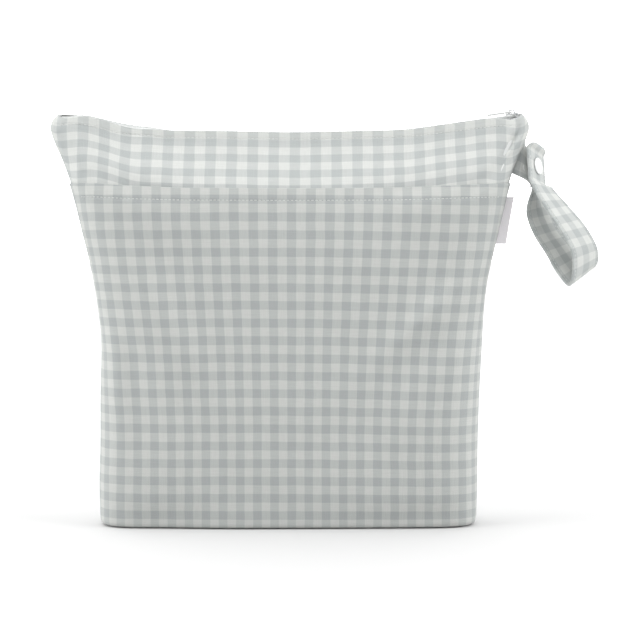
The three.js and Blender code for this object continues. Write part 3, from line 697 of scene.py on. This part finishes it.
# The pocket's cotton: the same checks with painted shade, a deeper tone that stands in for the shade its
# front has in this light.
pocket_cotton_painted_shade = woven_gingham("gingham_cotton", "#b4b6b3")
# Woven polyester tape: matt white, ribbed across, a little brighter than the cotton.
tape_weave = narrow_weave("woven_polyester_tape", "#d6d8d6", 0.8, 0.4, 0.75)
# Taffeta ribbon, slit and folded: smooth, slightly lilac white, with threads that only just show.
ribbon_weave = narrow_weave("white_taffeta_ribbon", "#e8e5e8", 0.6, 0.2, 0.55, sheen=0.2)
# Spun polyester thread: a twisted white yarn with a soft gloss.
thread = narrow_weave("spun_polyester_thread", "#c6c8c6", 0.5, 0.3, 0.6)
# Polyurethane laminate on knitted backing: the bag's smooth, faintly grainy off-white inside.
laminate = hard_finish("white_polyurethane_laminate", "#cfd1d0", 0.5, 0.9, Specular_IOR_Level=0.3)
# Coiled polyester monofilament: white, smooth and a little waxy.
filament = hard_finish("polyester_monofilament_coil", "#d4d6d5", 0.42, 1.5, IOR=1.5)
# Moulded acetal: bright white, smooth and softly glossy, lighter than anything else on the bag.
acetal = hard_finish(
    "moulded_acetal_stud",
    "#dfe1e0",
    0.3,
    2.5,
    IOR=1.48,
    Coat_Weight=0.15,
    Coat_Roughness=0.2,
)
# White stoving enamel over cast zinc: a thick smooth coat that rounds the tab's edges.
enamel = hard_finish("white_enamelled_zinc", "#c0c2c1", 0.33, 2.0, Coat_Weight=0.25, Coat_Roughness=0.15)
# Nickel plate on die-cast zinc: pale metal, bright where it is worn, with a soft cast grain.
nickel = hard_finish("nickel_plated_zinc", "#c3c5c6", 0.26, 1.2, Metallic=1.0)

# The shell
COLUMNS = 241
HEM_TOP = POCKET_HEIGHT / BAG_HEIGHT
LOWEST = SHELL_SECTIONS[0][0]
# across, long, depth: where the front lip hangs lower than the back one, in millimetres
LIP_DIPS = [(-0.67, 0.11, 2.6), (-0.975, 0.09, 2.8), (0.955, 0.06, 3.6)]
SEAM_DEPTH = 0.9
SIDE_EASE = 4
UNDER_POCKET = 0.9
STITCH_WIDTH = 1.1
shares = even_shares(COLUMNS)


def near(distance, width):
    """A soft bump, exp(-(distance/width)^2)."""
    return np.exp(-((distance / width) ** 2))


def small_relief(side, share, level):
    """Fine unevenness of sewn cloth in millimetres: long slow waves, creases, short puckers that die away
    from the side seams, and the face's gentle turn towards the sides below the hem."""
    x, z = share * HALF_WIDTH * 0.85, level * BAG_HEIGHT
    slow = waves(x, z, 11 + side, 26, 120, 34) * 0.38 * (1 - np.abs(share) ** 10)
    seam = near((1 - np.abs(share)) * HALF_WIDTH, 9)
    pucker = waves(x * 0.15, z, 31 + side, 9, 16, 8) * 0.4 * seam
    calm = np.clip((1 - level) * BAG_HEIGHT / 10, 0, 1) * np.clip(level * BAG_HEIGHT / 14, 0, 1)
    low = np.clip((0.8 - level) / 0.25, 0, 1)
    ease = SIDE_EASE * np.clip((np.abs(share) - 0.55) / 0.45, 0, 1) ** 1.5 * low
    creases = fold_rise(CREASES, side, share, level) * (1 - np.abs(share) ** 60)
    return (slow + pucker) * calm - ease + creases


def stitch_pucker(x, distance, seed):
    """A stitched line in millimetres: a groove at distance 0, and small gathers beside it."""
    gathers = waves(x, x * 0, seed, 12, 9, 4.5) * 0.11 * near(distance, 4)
    return gathers - 0.35 * near(distance, STITCH_WIDTH)


def front_dip(share):
    """How much lower the front lip hangs than the back one: nothing at the seams themselves."""
    return sum(depth * near(share - at, long) for at, long, depth in LIP_DIPS) * (1 - np.abs(share) ** 90)


def drawn_in(points, sign):
    """The cloth drawn in along the side seams, where front and back are sewn together."""
    height = np.clip((BAG_HEIGHT - points[..., 2]) / 20, 0.15, 1)
    return sign * SEAM_DEPTH * near(points[..., 1], 1.6) * height


def shell_wall(side, proud, levels):
    """Half the shell as a grid: rows go up, columns from the left seam to the right."""
    share, level = np.meshgrid(shares, levels)
    relief = small_relief(side, share, level)
    if side < 0:
        under_pocket = np.clip((POCKET_HEIGHT - 3 - level * BAG_HEIGHT) / 6, 0, 1)
        relief = relief - UNDER_POCKET * under_pocket
    from_stitch = (1 - level) * BAG_HEIGHT - TOPSTITCH_DROP
    relief = relief + stitch_pucker(share * HALF_WIDTH, from_stitch, 51 + side)
    points = shell_point(share, side, level, proud, relief * (1 - np.abs(share) ** 30))
    points[..., 0] -= drawn_in(points, np.sign(share))
    if side < 0:
        points[..., 2] -= front_dip(share) * np.clip((level - 0.94) / 0.06, 0, 1) ** 2
    return points


def base_rings(side, proud, radius, floor, steps):
    """The rounded lower edge: quarter circles that draw the lowest section in towards the floor."""
    rings = []
    relief = small_relief(side, shares, LOWEST) * (1 - np.abs(shares) ** 30)
    for turn in np.linspace(0, math.pi / 2, steps, endpoint=False):
        ring = shell_point(shares, side, LOWEST, proud - radius * (1 - math.sin(turn)), relief)
        ring[:, 0] -= drawn_in(ring, np.sign(shares))
        ring[:, 2] = floor + radius * (1 - math.cos(turn))
        rings.append(ring)
    return np.stack(rings)


def shell_patches():
    """Front and back walls, the rim, the inner walls, and the base outside and inside."""
    patches, feet = [], {}
    levels = np.concatenate([np.linspace(LOWEST, 0.955, 112), np.linspace(0.957, 1, 24)])
    for side in (-1, 1):
        wall = np.concatenate([base_rings(side, 0, BASE_EDGE, 0, 7), shell_wall(side, 0, levels)])
        inner_levels = np.concatenate([np.linspace(1, 0.957, 6), np.linspace(0.9, LOWEST, 10)])
        inner = shell_wall(side, -CLOTH, inner_levels)
        lip = (wall[-1] + inner[0]) / 2
        lip[:, 2] += 0.45
        floor_ring = base_rings(side, -CLOTH, BASE_EDGE - CLOTH, CLOTH, 2)[::-1]
        checks = band_checks(wall, wall[-1])
        down = np.concatenate([inner, floor_ring])
        patches.append(patch(wall, checks, side > 0))
        patches.append(patch(np.stack([wall[-1], lip, inner[0]]), checks[-1], side > 0))
        patches.append(patch(down, band_checks(down, wall[-1]), side > 0, 1))
        feet[side] = wall[0], down[-1]
    for layer, lift in ((0, 0.5), (1, 0)):
        t = np.linspace(0, 1, 22)[:, None, None]
        under = feet[-1][layer][None] * (1 - t) + feet[1][layer][None] * t
        under[..., 2] += lift * np.sin(math.pi * t[..., 0]) ** 0.5
        spots = (under[..., :2] - (POCKET_COLUMN, 0)) / POCKET_PAIRS[0][1] + 0.5
        patches.append(patch(under, spots, layer == 0, layer))
    return patches


bag_cloth = make_piece("bag_cloth", shell_patches(), [cotton, laminate], "bag_body")

# The slip pocket
POCKET_PROUD = 0.95
HEM_GAP = 0.55


def pocket_points(share, level, proud):
    """The pocket's cloth: the shell's front, held off it by the opening of the mouth, and drawn in to the
    side seams."""
    below = (HEM_TOP - level) * BAG_HEIGHT
    open_share = sum(rise * near(share - at, long) for at, long, rise in POCKET_OPENINGS)
    stand_off = MOUTH_GAP * open_share * near(below, MOUTH_GAP_DEPTH)
    to_seam = np.clip((1 - np.abs(share)) / 0.0012, 0, 1) ** 0.5
    relief = small_relief(-1, share, level) + stitch_pucker(share * HALF_WIDTH, below - HEM_WIDTH, 57)
    points = shell_point(share, -1, level, proud * to_seam, relief * (1 - np.abs(share) ** 30))
    points[..., 0] -= drawn_in(points, np.sign(share))
    points[..., 1] -= stand_off
    return points


def pocket_patches():
    """The pocket's face from the base up, round the fold of its hem and down behind it."""
    face_levels = np.linspace(LOWEST, HEM_TOP - 0.05, 104)
    hem_band = np.linspace(HEM_TOP - 0.048, HEM_TOP, 26)
    levels = np.concatenate([face_levels, hem_band])
    face = pocket_points(*np.meshgrid(shares, levels), POCKET_PROUD)
    foot = base_rings(-1, POCKET_PROUD, BASE_EDGE, 0, 7)[3:]
    behind_levels = np.linspace(HEM_TOP, HEM_TOP - (HEM_WIDTH + 1.5) / BAG_HEIGHT, 12)
    behind = pocket_points(*np.meshgrid(shares, behind_levels), POCKET_PROUD - HEM_GAP)
    turn = np.linspace(0, math.pi, 5)[1:-1, None, None]
    fold = (face[-1] + behind[0]) / 2 + (face[-1] - behind[0]) / 2 * np.cos(turn)
    fold[..., 2] += 0.6 * np.sin(turn[..., 0])
    grid = np.concatenate([foot, face, fold, behind])
    return [patch(grid, pocket_checks(grid))]


# The pocket's cloth takes the cotton whose deeper tone is painted shade.
pocket_cloth = make_piece("pocket_cloth", pocket_patches(), [pocket_cotton_painted_shade], "front_pocket")
thicken = pocket_cloth.modifiers.new("thickness", "SOLIDIFY")
thicken.thickness = 0.45 * MM
thicken.offset = 0

# Stitching on the bag


def stitched(rows, clear):
    """Stitches along the middle one of three rows of points, its ends left bare."""
    line, outward = rows[1][clear:-clear], outward_of(rows)[clear:-clear]
    points = stitch_row(line, outward)
    return patch(points, points[..., :2])


bag_rows = []
for side in (-1, 1):
    rows = shell_wall(side, 0, 1 - (TOPSTITCH_DROP + np.array([0.4, 0, -0.4])) / BAG_HEIGHT)
    bag_rows.append(stitched(rows, 24))
make_piece("top_stitching", bag_rows, [thread])
hem_levels = HEM_TOP - (HEM_WIDTH + np.array([0.4, 0, -0.4])) / BAG_HEIGHT
hem_rows = pocket_points(*np.meshgrid(shares, hem_levels), POCKET_PROUD + 0.22)
make_piece("hem_stitching", [stitched(hem_rows, 26)], [thread])

# The zip
CHAIN_HALF = CHAIN_WIDTH / 2
CHAIN_MIDDLE = -RIM_DEPTH - TAPE_THICKNESS / 2
ZIP_END = HALF_WIDTH - TAPE_END_GAP
SLIDER_PLACE = ZIP_END - SLIDER_FROM_END
ZIP_STATIONS = 170


def mouth_at(x):
    """The line of the mouth at x: the height of the cloth's rim, and half the gap between the lips."""
    share = (x - HALF_WIDTH * SHELL_SECTIONS[-1][3]) / HALF_WIDTH
    rounding = (1 - np.abs(share) ** SHELL_SECTIONS[-1][4]) ** (1 / SIDE_ROUNDNESS)
    return BAG_HEIGHT + mouth_dip(share, 1.0), MOUTH_HALF * rounding - CLOTH


def tape_patches(side):
    """One tape: its outline, flat from the teeth to the lip and then down inside it, is carried along the
    mouth. At the left corner the end of the tape stands up a little."""
    x = np.linspace(-ZIP_END, ZIP_END, ZIP_STATIONS)
    rim, half_gap = mouth_at(x)
    inner = CHAIN_HALF + SEAT_GAP
    outer = half_gap.min() - SEAT_GAP
    low = -RIM_DEPTH - TAPE_DROP
    under = -RIM_DEPTH - TAPE_THICKNESS
    outline = softened(
        [
            (inner, under),
            (outer - TAPE_THICKNESS, under),
            (outer - TAPE_THICKNESS, low),
            (outer, low),
            (outer, -RIM_DEPTH),
            (inner, -RIM_DEPTH),
        ],
        0.25,
        2,
    )
    ring = np.broadcast_to(closed(outline), (len(x), len(outline) + 1, 2)).copy()
    beside_lip = ring[..., 0] > (inner + outer - TAPE_THICKNESS) / 2
    ring[..., 0] += (half_gap - half_gap.min())[:, None] * beside_lip
    along = np.broadcast_to(x[:, None], beside_lip.shape)
    points = np.stack([along, side * ring[..., 0], rim[:, None] + ring[..., 1]], axis=-1)
    corner = near(x + ZIP_END, 11)[:, None] * 1.5
    points[..., 2] += corner - front_dip(x / HALF_WIDTH)[:, None] * (1 if side < 0 else 0.25)
    girth = np.concatenate([[0], np.cumsum(np.linalg.norm(np.diff(closed(outline), axis=0), axis=1))])
    pattern = np.stack(np.broadcast_arrays(girth[None, :], x[:, None]), -1)
    grid = np.concatenate([to_middle(points[0])[None], points, to_middle(points[-1])[None]])
    return [patch(grid, np.concatenate([pattern[:1], pattern, pattern[-1:]]))]


for side, name in ((-1, "front"), (1, "back")):
    make_piece(
        "woven_tape_" + name,
        tape_patches(side),
        [tape_weave],
        "zip_tape_" + name,
    )


def coil_patches():
    """Two helices of one pitch, half a turn apart, whose heads mesh over the middle: across is
    0.85 - 0.95 cos t, height 0.62 sin t, and a turn of t goes one pitch along."""
    patches = []
    end = SLIDER_PLACE + SLIDER_LENGTH / 2 - SLIDER_POST - SEAT_GAP
    for side, offset in ((-1, 0), (1, COIL_PITCH / 2)):
        turns = (end + ZIP_END - COIL_PITCH) / COIL_PITCH
        t = np.linspace(0, turns * 2 * math.pi, int(turns * 12))
        x = -ZIP_END + offset + COIL_PITCH * t / (2 * math.pi)
        z = mouth_at(x)[0] + CHAIN_MIDDLE - 0.6 * front_dip(x / HALF_WIDTH) + 0.62 * np.sin(t)
        middles = np.stack([x, side * (0.85 - 0.95 * np.cos(t)), z], axis=-1)
        along = unit(np.gradient(middles, axis=0))
        across = unit(np.cross(along, (1, 0, 0)))
        angle = np.linspace(0, 2 * math.pi, 7)
        outline = COIL_WIRE * np.stack([np.cos(angle), np.sin(angle)], axis=-1)
        patches.append(patch(swept(middles, across, np.cross(across, along), outline)))
    return patches


make_piece("zip_coil", coil_patches(), [filament], "zip_chain")

# The slider and its pull, drawn about the slider's own middle with x along the zip
PLATE_INNER = CHAIN_HEIGHT / 2 + RUNNING_GAP
PLATE_OUTER = PLATE_INNER + SLIDER_PLATE
PIVOT_HEIGHT = PLATE_OUTER + RUNNING_GAP + PULL_THICKNESS / 2
BRIDGE_UNDER = PIVOT_HEIGHT + PULL_THICKNESS / 2 + RUNNING_GAP
BRIDGE_TOP = BRIDGE_UNDER + BAIL_BAR


def on_slider(points):
    """Points of the slider's own frame, leant along the mouth's line and set on it."""
    ahead, behind = (mouth_at(SLIDER_PLACE + way * SLIDER_LENGTH / 2)[0] for way in (1, -1))
    lean = math.atan2(ahead - behind, SLIDER_LENGTH)
    x, y, z = np.moveaxis(points, -1, 0)
    along = x * math.cos(lean) - z * math.sin(lean) + SLIDER_PLACE
    up = x * math.sin(lean) + z * math.cos(lean) + mouth_at(SLIDER_PLACE)[0] + CHAIN_MIDDLE
    return np.stack([along, y, up], axis=-1)


def slider_patches():
    """Two plates with rounded cheeks, the wedge between them, and an arched bail with a flat bridge."""
    half, tail, nose = SLIDER_LENGTH / 2, SLIDER_TAIL_WIDTH / 2, SLIDER_NOSE_WIDTH / 2
    shoulder, cheek, side = half * 0.45, half * 0.8, SLIDER_WIDTH / 2
    upper = [(half, nose), (cheek, side), (shoulder, side), (0, tail), (-half, tail)]
    outline = softened(upper + [(x, -y) for x, y in reversed(upper)], 0.8)
    post_x, post_y = half - SLIDER_POST, CHAIN_HALF - SEAT_GAP
    post = softened([(half, -post_y), (half, post_y), (post_x, post_y * 0.7), (post_x, -post_y * 0.7)], 0.4)
    patches = [
        patch(on_slider(plate(outline, PLATE_INNER, PLATE_OUTER, 0.3))),
        patch(on_slider(plate(outline, -PLATE_OUTER, -PLATE_INNER, 0.3))),
        patch(on_slider(plate(post, -PLATE_INNER - 0.2, PLATE_INNER + 0.2, 0.05))),
    ]
    leg, top = (BAIL_LENGTH - BAIL_BAR) / 2, (BRIDGE_UNDER + BRIDGE_TOP) / 2
    foot = PLATE_OUTER - 0.2
    corner = top - 0.9
    turn = np.linspace(0, math.pi / 2, 7)
    arc = np.stack([leg - 0.9 + 0.9 * np.cos(turn), corner + 0.9 * np.sin(turn)], axis=-1)
    path = np.concatenate([[(leg, foot)], arc, arc[::-1] * (-1, 1), [(-leg, foot)]])
    middles = np.stack([path[:, 0], path[:, 0] * 0, path[:, 1]], axis=-1)
    along = unit(np.gradient(middles, axis=0))
    across = np.broadcast_to((0.0, 1.0, 0.0), middles.shape)
    bar = softened(
        [
            (-BAIL_WIDTH / 2, -BAIL_BAR / 2),
            (BAIL_WIDTH / 2, -BAIL_BAR / 2),
            (BAIL_WIDTH / 2, BAIL_BAR / 2),
            (-BAIL_WIDTH / 2, BAIL_BAR / 2),
        ],
        0.25,
    )
    patches.append(patch(on_slider(swept(middles, across, np.cross(along, across), closed(bar)))))
    return patches


make_piece("nickel_slider", slider_patches(), [nickel], "zip_slider")


def even_round(outline, count):
    """A closed outline read again at even steps along its length."""
    ring = closed(outline)
    run = np.concatenate([[0], np.cumsum(np.linalg.norm(np.diff(ring, axis=0), axis=1))])
    at = np.linspace(0, run[-1], count + 1)[:-1]
    return np.stack([np.interp(at, run, ring[:, k]) for k in (0, 1)], axis=-1)


def pull_patches():
    """The flat tab with its eye: one closed band whose section goes over the top, down the outer edge,
    back under and up inside the eye."""
    head, tip, half = PULL_PIVOT_BAR / 2, PULL_PIVOT_BAR / 2 - PULL_LENGTH, PULL_WIDTH / 2
    reach = -(math.hypot(BAIL_LENGTH / 2, BRIDGE_TOP - PIVOT_HEIGHT) + RUNNING_GAP)
    arm = BAIL_WIDTH / 2 + RUNNING_GAP
    outer = softened([(head, 0), (head, half), (tip, half), (tip, -half), (head, -half)], 1.3, 5)
    eye = softened([(-head, 0), (-head, arm), (reach, arm), (reach, -arm), (-head, -arm)], 0.4, 5)
    outer, eye = even_round(outer, 96), even_round(eye, 96)
    high, edge = PULL_THICKNESS / 2, 0.28
    rows = [
        (inset(outer, edge), high),
        (inset(outer, edge * 0.3), high - edge * 0.3),
        (outer, high - edge),
        (outer, edge - high),
        (inset(outer, edge * 0.3), edge * 0.3 - high),
        (inset(outer, edge), -high),
        (inset(eye, -0.12), -high),
        (eye, 0.12 - high),
        (eye, high - 0.12),
        (inset(eye, -0.12), high),
        (inset(outer, edge), high),
    ]
    rings = [level_ring(ring, height + PIVOT_HEIGHT) for ring, height in rows]
    return [patch(on_slider(np.stack(rings)))]


make_piece("enamelled_pull", pull_patches(), [enamel], "zip_pull", body="pull")

# The carry strap
LAYER = STRAP_THICKNESS / 2
SEW_LINE = STRAP_WIDTH / 2 - 2.2
STRAP_STATIONS = 241
LAST_STEP = STRAP_ROUTE[-1][0]


def dot(first, second):
    """The row by row dot product, kept as a column."""
    return (first * second).sum(axis=-1, keepdims=True)


def seam_station():
    """Where the strap leaves the side seam: along the seam's slope, its edge sewn into the seam."""
    spots = shell_point(1, -1, (STRAP_HEIGHT + np.linspace(-0.5, 0.5, 5) * STRAP_WIDTH) / BAG_HEIGHT)
    width, out = unit(spots[-1] - spots[0]), spots - spots[0]
    clear = (out[:, 0] * width[2] - out[:, 2] * width[0]).max() - STRAP_SEWN_IN
    middle = spots[0] + width * STRAP_WIDTH / 2 + np.array([width[2], 0, -width[0]]) * clear
    return middle, width, np.array([0.0, -1.0, 0.0])


def route_at(step):
    """The strap's middle line and the direction of its width at steps of the route."""
    out, back, down, turn, tilt = np.moveaxis(smooth_read(STRAP_ROUTE, step), -1, 0)
    seat = seam_station()[0]
    spots = [seat[0] + out * STRAP_REACH, back * STRAP_FORWARD, seat[2] - down * STRAP_DROP]
    turn, tilt = np.radians(turn), np.radians(tilt)
    width = [np.cos(tilt) * np.cos(turn), np.cos(tilt) * np.sin(turn), np.sin(tilt)]
    return np.stack(spots, axis=-1), np.stack(width, axis=-1)


def strap_station(step):
    """The strap's middle, the direction of its width, and the direction that its face looks in, square to
    the width and to the way it runs."""
    middle, width = route_at(step)
    way = route_at(np.minimum(step + 0.2, LAST_STEP))[0] - route_at(np.maximum(step - 0.2, 0))[0]
    return middle, width, unit(np.cross(way, width))


def blended(first, second, share):
    """A station a share of the way from one to another: middle, width and face."""
    middle, width, face = (a + (b - a) * share for a, b in zip(first, second))
    return middle, unit(width), unit(face)


stud_middle, stud_across, stud_face = strap_station(np.array([STUD_STEP]))
STUD_STACK = STRAP_THICKNESS + STUD_RING_THICKNESS + STUD_BASE_THICKNESS + SEAT_GAP * 3


def strap_path():
    """The whole strap: it leaves the seam for the stub behind the press stud, goes round the loop, and is
    pressed flat under the stud's caps."""
    step = np.linspace(0, LAST_STEP, STRAP_STATIONS)[:, None]
    up = np.array([0.0, 0.0, 1.0])
    stub = stud_middle + stud_face * STUD_STACK, unit(up - stud_face * dot(stud_face, up)), -stud_face
    stud = stud_middle, stud_across, stud_face
    leaving = blended(seam_station(), stub, np.minimum(step, 1))
    middle, width, face = blended(leaving, strap_station(step[:, 0]), np.clip(step - 1, 0, 1))
    flat_middle, flat_face = (np.where(step < STUB_TO, stub[k], stud[k]) for k in (0, 2))
    away = np.linalg.norm(middle - flat_middle, axis=-1, keepdims=True)
    t = np.clip((away - STUD_CAP_RADIUS - PRESSED_MARGIN) / PRESSED_EASE, 0, 1)
    hold = (1 - t * t * (3 - 2 * t)) * np.clip(step, 0, 1)
    middle = middle - flat_face * dot(middle - flat_middle, flat_face) * hold
    face = unit(face + (flat_face - face) * hold)
    width = unit(width - face * dot(width, face))
    return middle, width, face, hold[:, 0]


def strap_outline(half_width):
    """Two layers of cloth one on the other: flat faces with a sewn groove near each edge, and two round
    noses at each side with a groove between them."""
    flat = np.linspace(LAYER / 2 - STRAP_WIDTH / 2, STRAP_WIDTH / 2 - LAYER / 2, 45)
    face = LAYER - 0.22 * near(np.abs(flat) - SEW_LINE, 0.8) + 0.1 * near(flat, 7)
    bend = np.radians(np.linspace(75, -60, 7))
    nose = (STRAP_WIDTH / 2 - LAYER / 2 + LAYER / 2 * np.cos(bend), LAYER / 2 + LAYER / 2 * np.sin(bend))
    w = np.concatenate([flat, nose[0], nose[0][::-1], flat[::-1], -nose[0], -nose[0][::-1], flat[:1]])
    f = np.concatenate([face, nose[1], -nose[1][::-1], -face, -nose[1], nose[1][::-1], face[:1]])
    w = w[None, :] * half_width[:, None] / (STRAP_WIDTH / 2)
    return np.stack([w, np.broadcast_to(f, w.shape)], axis=-1)


def strap_patches():
    """The strap's outline along its path, rounded off at the free end, and the stitches on both faces."""
    middle, width, face, pressed = strap_path()
    run = np.concatenate([[0], np.cumsum(np.linalg.norm(np.diff(middle, axis=0), axis=1))])
    ripple = waves(run, run * 0, 71, 8, 60, 18) * 0.35 * (1 - pressed) * np.clip(run / 20, 0, 1)
    middle = middle + face * ripple[:, None]
    to_end = np.clip(STRAP_END_ROUND - (run[-1] - run), 0, STRAP_END_ROUND)
    half_width = STRAP_WIDTH / 2 - STRAP_END_ROUND + np.sqrt(STRAP_END_ROUND**2 - to_end**2)
    outline = strap_outline(half_width)
    across = outline[..., 0] / CHECK_PAIR + 0.5
    along = np.broadcast_to((run / STRAP_PAIR + STRAP_PHASE)[:, None], across.shape)
    checks = np.stack([across, along], axis=-1)
    grid = swept(middle, width, face, outline)
    checks = np.concatenate([checks[:1], checks, checks[-1:]])
    cloth, rows = [patch(grid, checks)], []
    sewn = slice(12, -9)
    for edge in (-1, 1):
        for side in (-1, 1):
            line = middle + width * edge * SEW_LINE + face * side * (LAYER - 0.2)
            points = stitch_row(line[sewn], face[sewn] * side)
            rows.append(patch(points, points[..., :2]))
    for side in (-1, 1):
        sweep = np.linspace(-1, 1, 30)[:, None] * (SEW_LINE - 2)
        line = middle[-7] + width[-7] * sweep + face[-7] * side * (LAYER + 0.02)
        points = stitch_row(line, np.broadcast_to(face[-7] * side, line.shape))
        rows.append(patch(points, points[..., :2]))
    return cloth, rows, run[-1]


strap_cloth, strap_rows, strap_length = strap_patches()
strap_piece = make_piece("strap_cloth", strap_cloth, [cotton], "carry_strap")
make_piece("strap_stitching", strap_rows, [thread])

# The press stud
stud_axis = -stud_face[0]
STUD_AXES = stud_across[0], np.cross(stud_axis, stud_across[0]), stud_axis
STUD_LAYER = STRAP_THICKNESS / 2 + SEAT_GAP


def stud_place(height, flip=1):
    """The middle and axes of a piece of the press stud that starts at a height along its axis."""
    return stud_middle[0] + stud_axis * height, (STUD_AXES[0], STUD_AXES[1], stud_axis * flip)


def dome_profile():
    """A low dome: r = R cos(t)^0.5 and h = T (0.3 + 0.7 sin(t)^0.9), over a small undercut at the rim."""
    t = np.linspace(0, math.pi / 2, 14)
    crown = np.column_stack([
        STUD_CAP_RADIUS * np.maximum(np.cos(t), 0) ** 0.5,
        STUD_CAP_THICKNESS * (0.3 + 0.7 * np.sin(t) ** 0.9),
    ])
    foot = [(0, 0), (STUD_CAP_RADIUS * 0.94, 0), (STUD_CAP_RADIUS * 0.985, STUD_CAP_THICKNESS * 0.1)]
    return np.concatenate([foot, crown[:-1], [(0, STUD_CAP_THICKNESS)]])


def ring_profile():
    """The socket's ring: its bore clears the post."""
    bore, rim, tall = STUD_POST_RADIUS + SEAT_GAP, STUD_RING_RADIUS, STUD_RING_THICKNESS
    return closed(softened([(bore, 0), (rim, 0), (rim, tall), (bore, tall)], 0.45))


def post_profile():
    """A round base with its post, every edge broken by a small slope."""
    base, post, edge = STUD_BASE_THICKNESS, STUD_POST_RADIUS, 0.2
    rim, top = STUD_RING_RADIUS, STUD_BASE_THICKNESS + STUD_RING_THICKNESS
    return [
        (0, 0),
        (rim - edge, 0),
        (rim, edge),
        (rim, base - edge),
        (rim - edge, base),
        (post + edge, base),
        (post, base + edge),
        (post, top - edge),
        (post - edge, top),
        (0, top),
    ]


ring_height = -STUD_LAYER - STUD_RING_THICKNESS
post_height = ring_height - STUD_BASE_THICKNESS - SEAT_GAP / 2
for name, node, profile, place in (
    ("snap_cap", "stud_cap", dome_profile(), stud_place(STUD_LAYER)),
    ("snap_socket", "stud_socket", ring_profile(), stud_place(ring_height)),
    ("snap_post", "stud_post", post_profile(), stud_place(post_height)),
    ("snap_back_cap", "stud_back_cap", dome_profile(), stud_place(-STUD_STACK - STUD_LAYER, -1)),
):
    make_piece(name, [patch(turned(profile, *place))], [acetal], node)

# The side label


def label_patches():
    """A bare ribbon folded double: out along one leaf, round a half circle and back along the other, with
    its reach falling evenly from the lower edge to the upper one."""
    z = np.linspace(LABEL_TOP - LABEL_HEIGHT, LABEL_TOP, 40)[:, None]
    seam = shell_point(1, -1, z / BAG_HEIGHT)[..., 0] + SEAT_GAP
    reach = LABEL_SHOWS - LABEL_LEAN * (z - z[0]) / LABEL_HEIGHT - LABEL_THICKNESS
    out = np.linspace(0, 1, 16)
    turn = np.linspace(-math.pi / 2, math.pi / 2, 9)[1:-1]
    x = np.concatenate([reach * out, reach + LABEL_THICKNESS * np.cos(turn), reach * out[::-1]], axis=1)
    leaf = np.concatenate([out * 0 - 1, np.sin(turn), out * 0 + 1]) * LABEL_THICKNESS
    bow = 0.35 * np.sin(z / 9) * (x / LABEL_SHOWS) ** 2
    points = np.stack(np.broadcast_arrays(seam + x, leaf + bow, z), axis=-1)
    return [patch(points, np.stack(np.broadcast_arrays(x, z), axis=-1))]


label = make_piece("label_leaf", label_patches(), [ribbon_weave], "side_label")
doubled = label.modifiers.new("thickness", "SOLIDIFY")
doubled.thickness = 0.4 * MM
doubled.offset = 0

# Floor and light
floor_mesh = bpy.data.meshes.new("floor")
floor_mesh.from_pydata([(-6, -6, 0), (6, -6, 0), (6, 6, 0), (-6, 6, 0)], [], [(0, 1, 2, 3)])
floor = bpy.data.objects.new("floor", floor_mesh)
bpy.context.collection.objects.link(floor)
floor_paint, floor_shader = new_material("matt_white_floor", Roughness=0.9, Specular_IOR_Level=0.1)
floor_shader.inputs["Base Color"].default_value = colour("#cecece")
floor_mesh.materials.append(floor_paint)

# How bright the white tent round the bag is: everywhere, and how much more overhead and at each side
TENT = {"everywhere": 0.25, "overhead": 0.1, "left": 0.9, "right": 0.1, "behind": 1.9}
TENT_SIDES = {"overhead": ("Z", 1), "left": ("X", -1), "right": ("X", 1), "behind": ("Y", 1)}


def white_tent():
    """The sky as a white tent: its brightness in a direction is a sum of parts, each growing with the
    direction's reach towards its own side."""
    world = bpy.data.worlds.new("white_tent")
    bpy.context.scene.world = world
    world.use_nodes = True
    way = add(world, "SeparateXYZ", i0=add(world, "TexCoord").outputs["Generated"])
    total = TENT["everywhere"]
    for side, (axis, sign) in TENT_SIDES.items():
        toward = add(world, "Math", {"operation": "MULTIPLY"}, i0=way.outputs[axis], i1=sign)
        reach = add(world, "Math", {"operation": "MAXIMUM"}, i0=toward.outputs[0], i1=0.0)
        total = add(
            world,
            "Math",
            {"operation": "MULTIPLY_ADD"},
            i0=reach.outputs[0],
            i1=TENT[side],
            i2=total,
        ).outputs[0]
    join(world, total, world.node_tree.nodes["Background"].inputs["Strength"])
    world.node_tree.nodes["Background"].inputs["Color"].default_value = (1, 1, 1, 1)


# name, from, strength, spread: broad soft lights, each a sun as wide as a large softbox
SOFTBOXES = [
    ("top", (0, -0.15, 1), 0.8, 60),
    ("left", (-1, -0.25, 0.5), 1.9, 50),
    ("right", (1, -0.25, 0.5), 2.2, 50),
    ("front", (0.15, -1, 0.45), 0.6, 60),
]


def softbox(name, toward, strength, spread):
    """One broad light that shines from a direction, its strength on a facing surface and its spread in
    degrees."""
    lamp = bpy.data.lights.new(name, "SUN")
    lamp.energy = strength
    lamp.angle = math.radians(spread)
    light = bpy.data.objects.new(name, lamp)
    light.rotation_euler = (-Vector(toward)).to_track_quat("-Z", "Y").to_euler()
    bpy.context.collection.objects.link(light)


white_tent()
for row in SOFTBOXES:
    softbox(*row)
bpy.context.scene.view_settings.view_transform = "Standard"
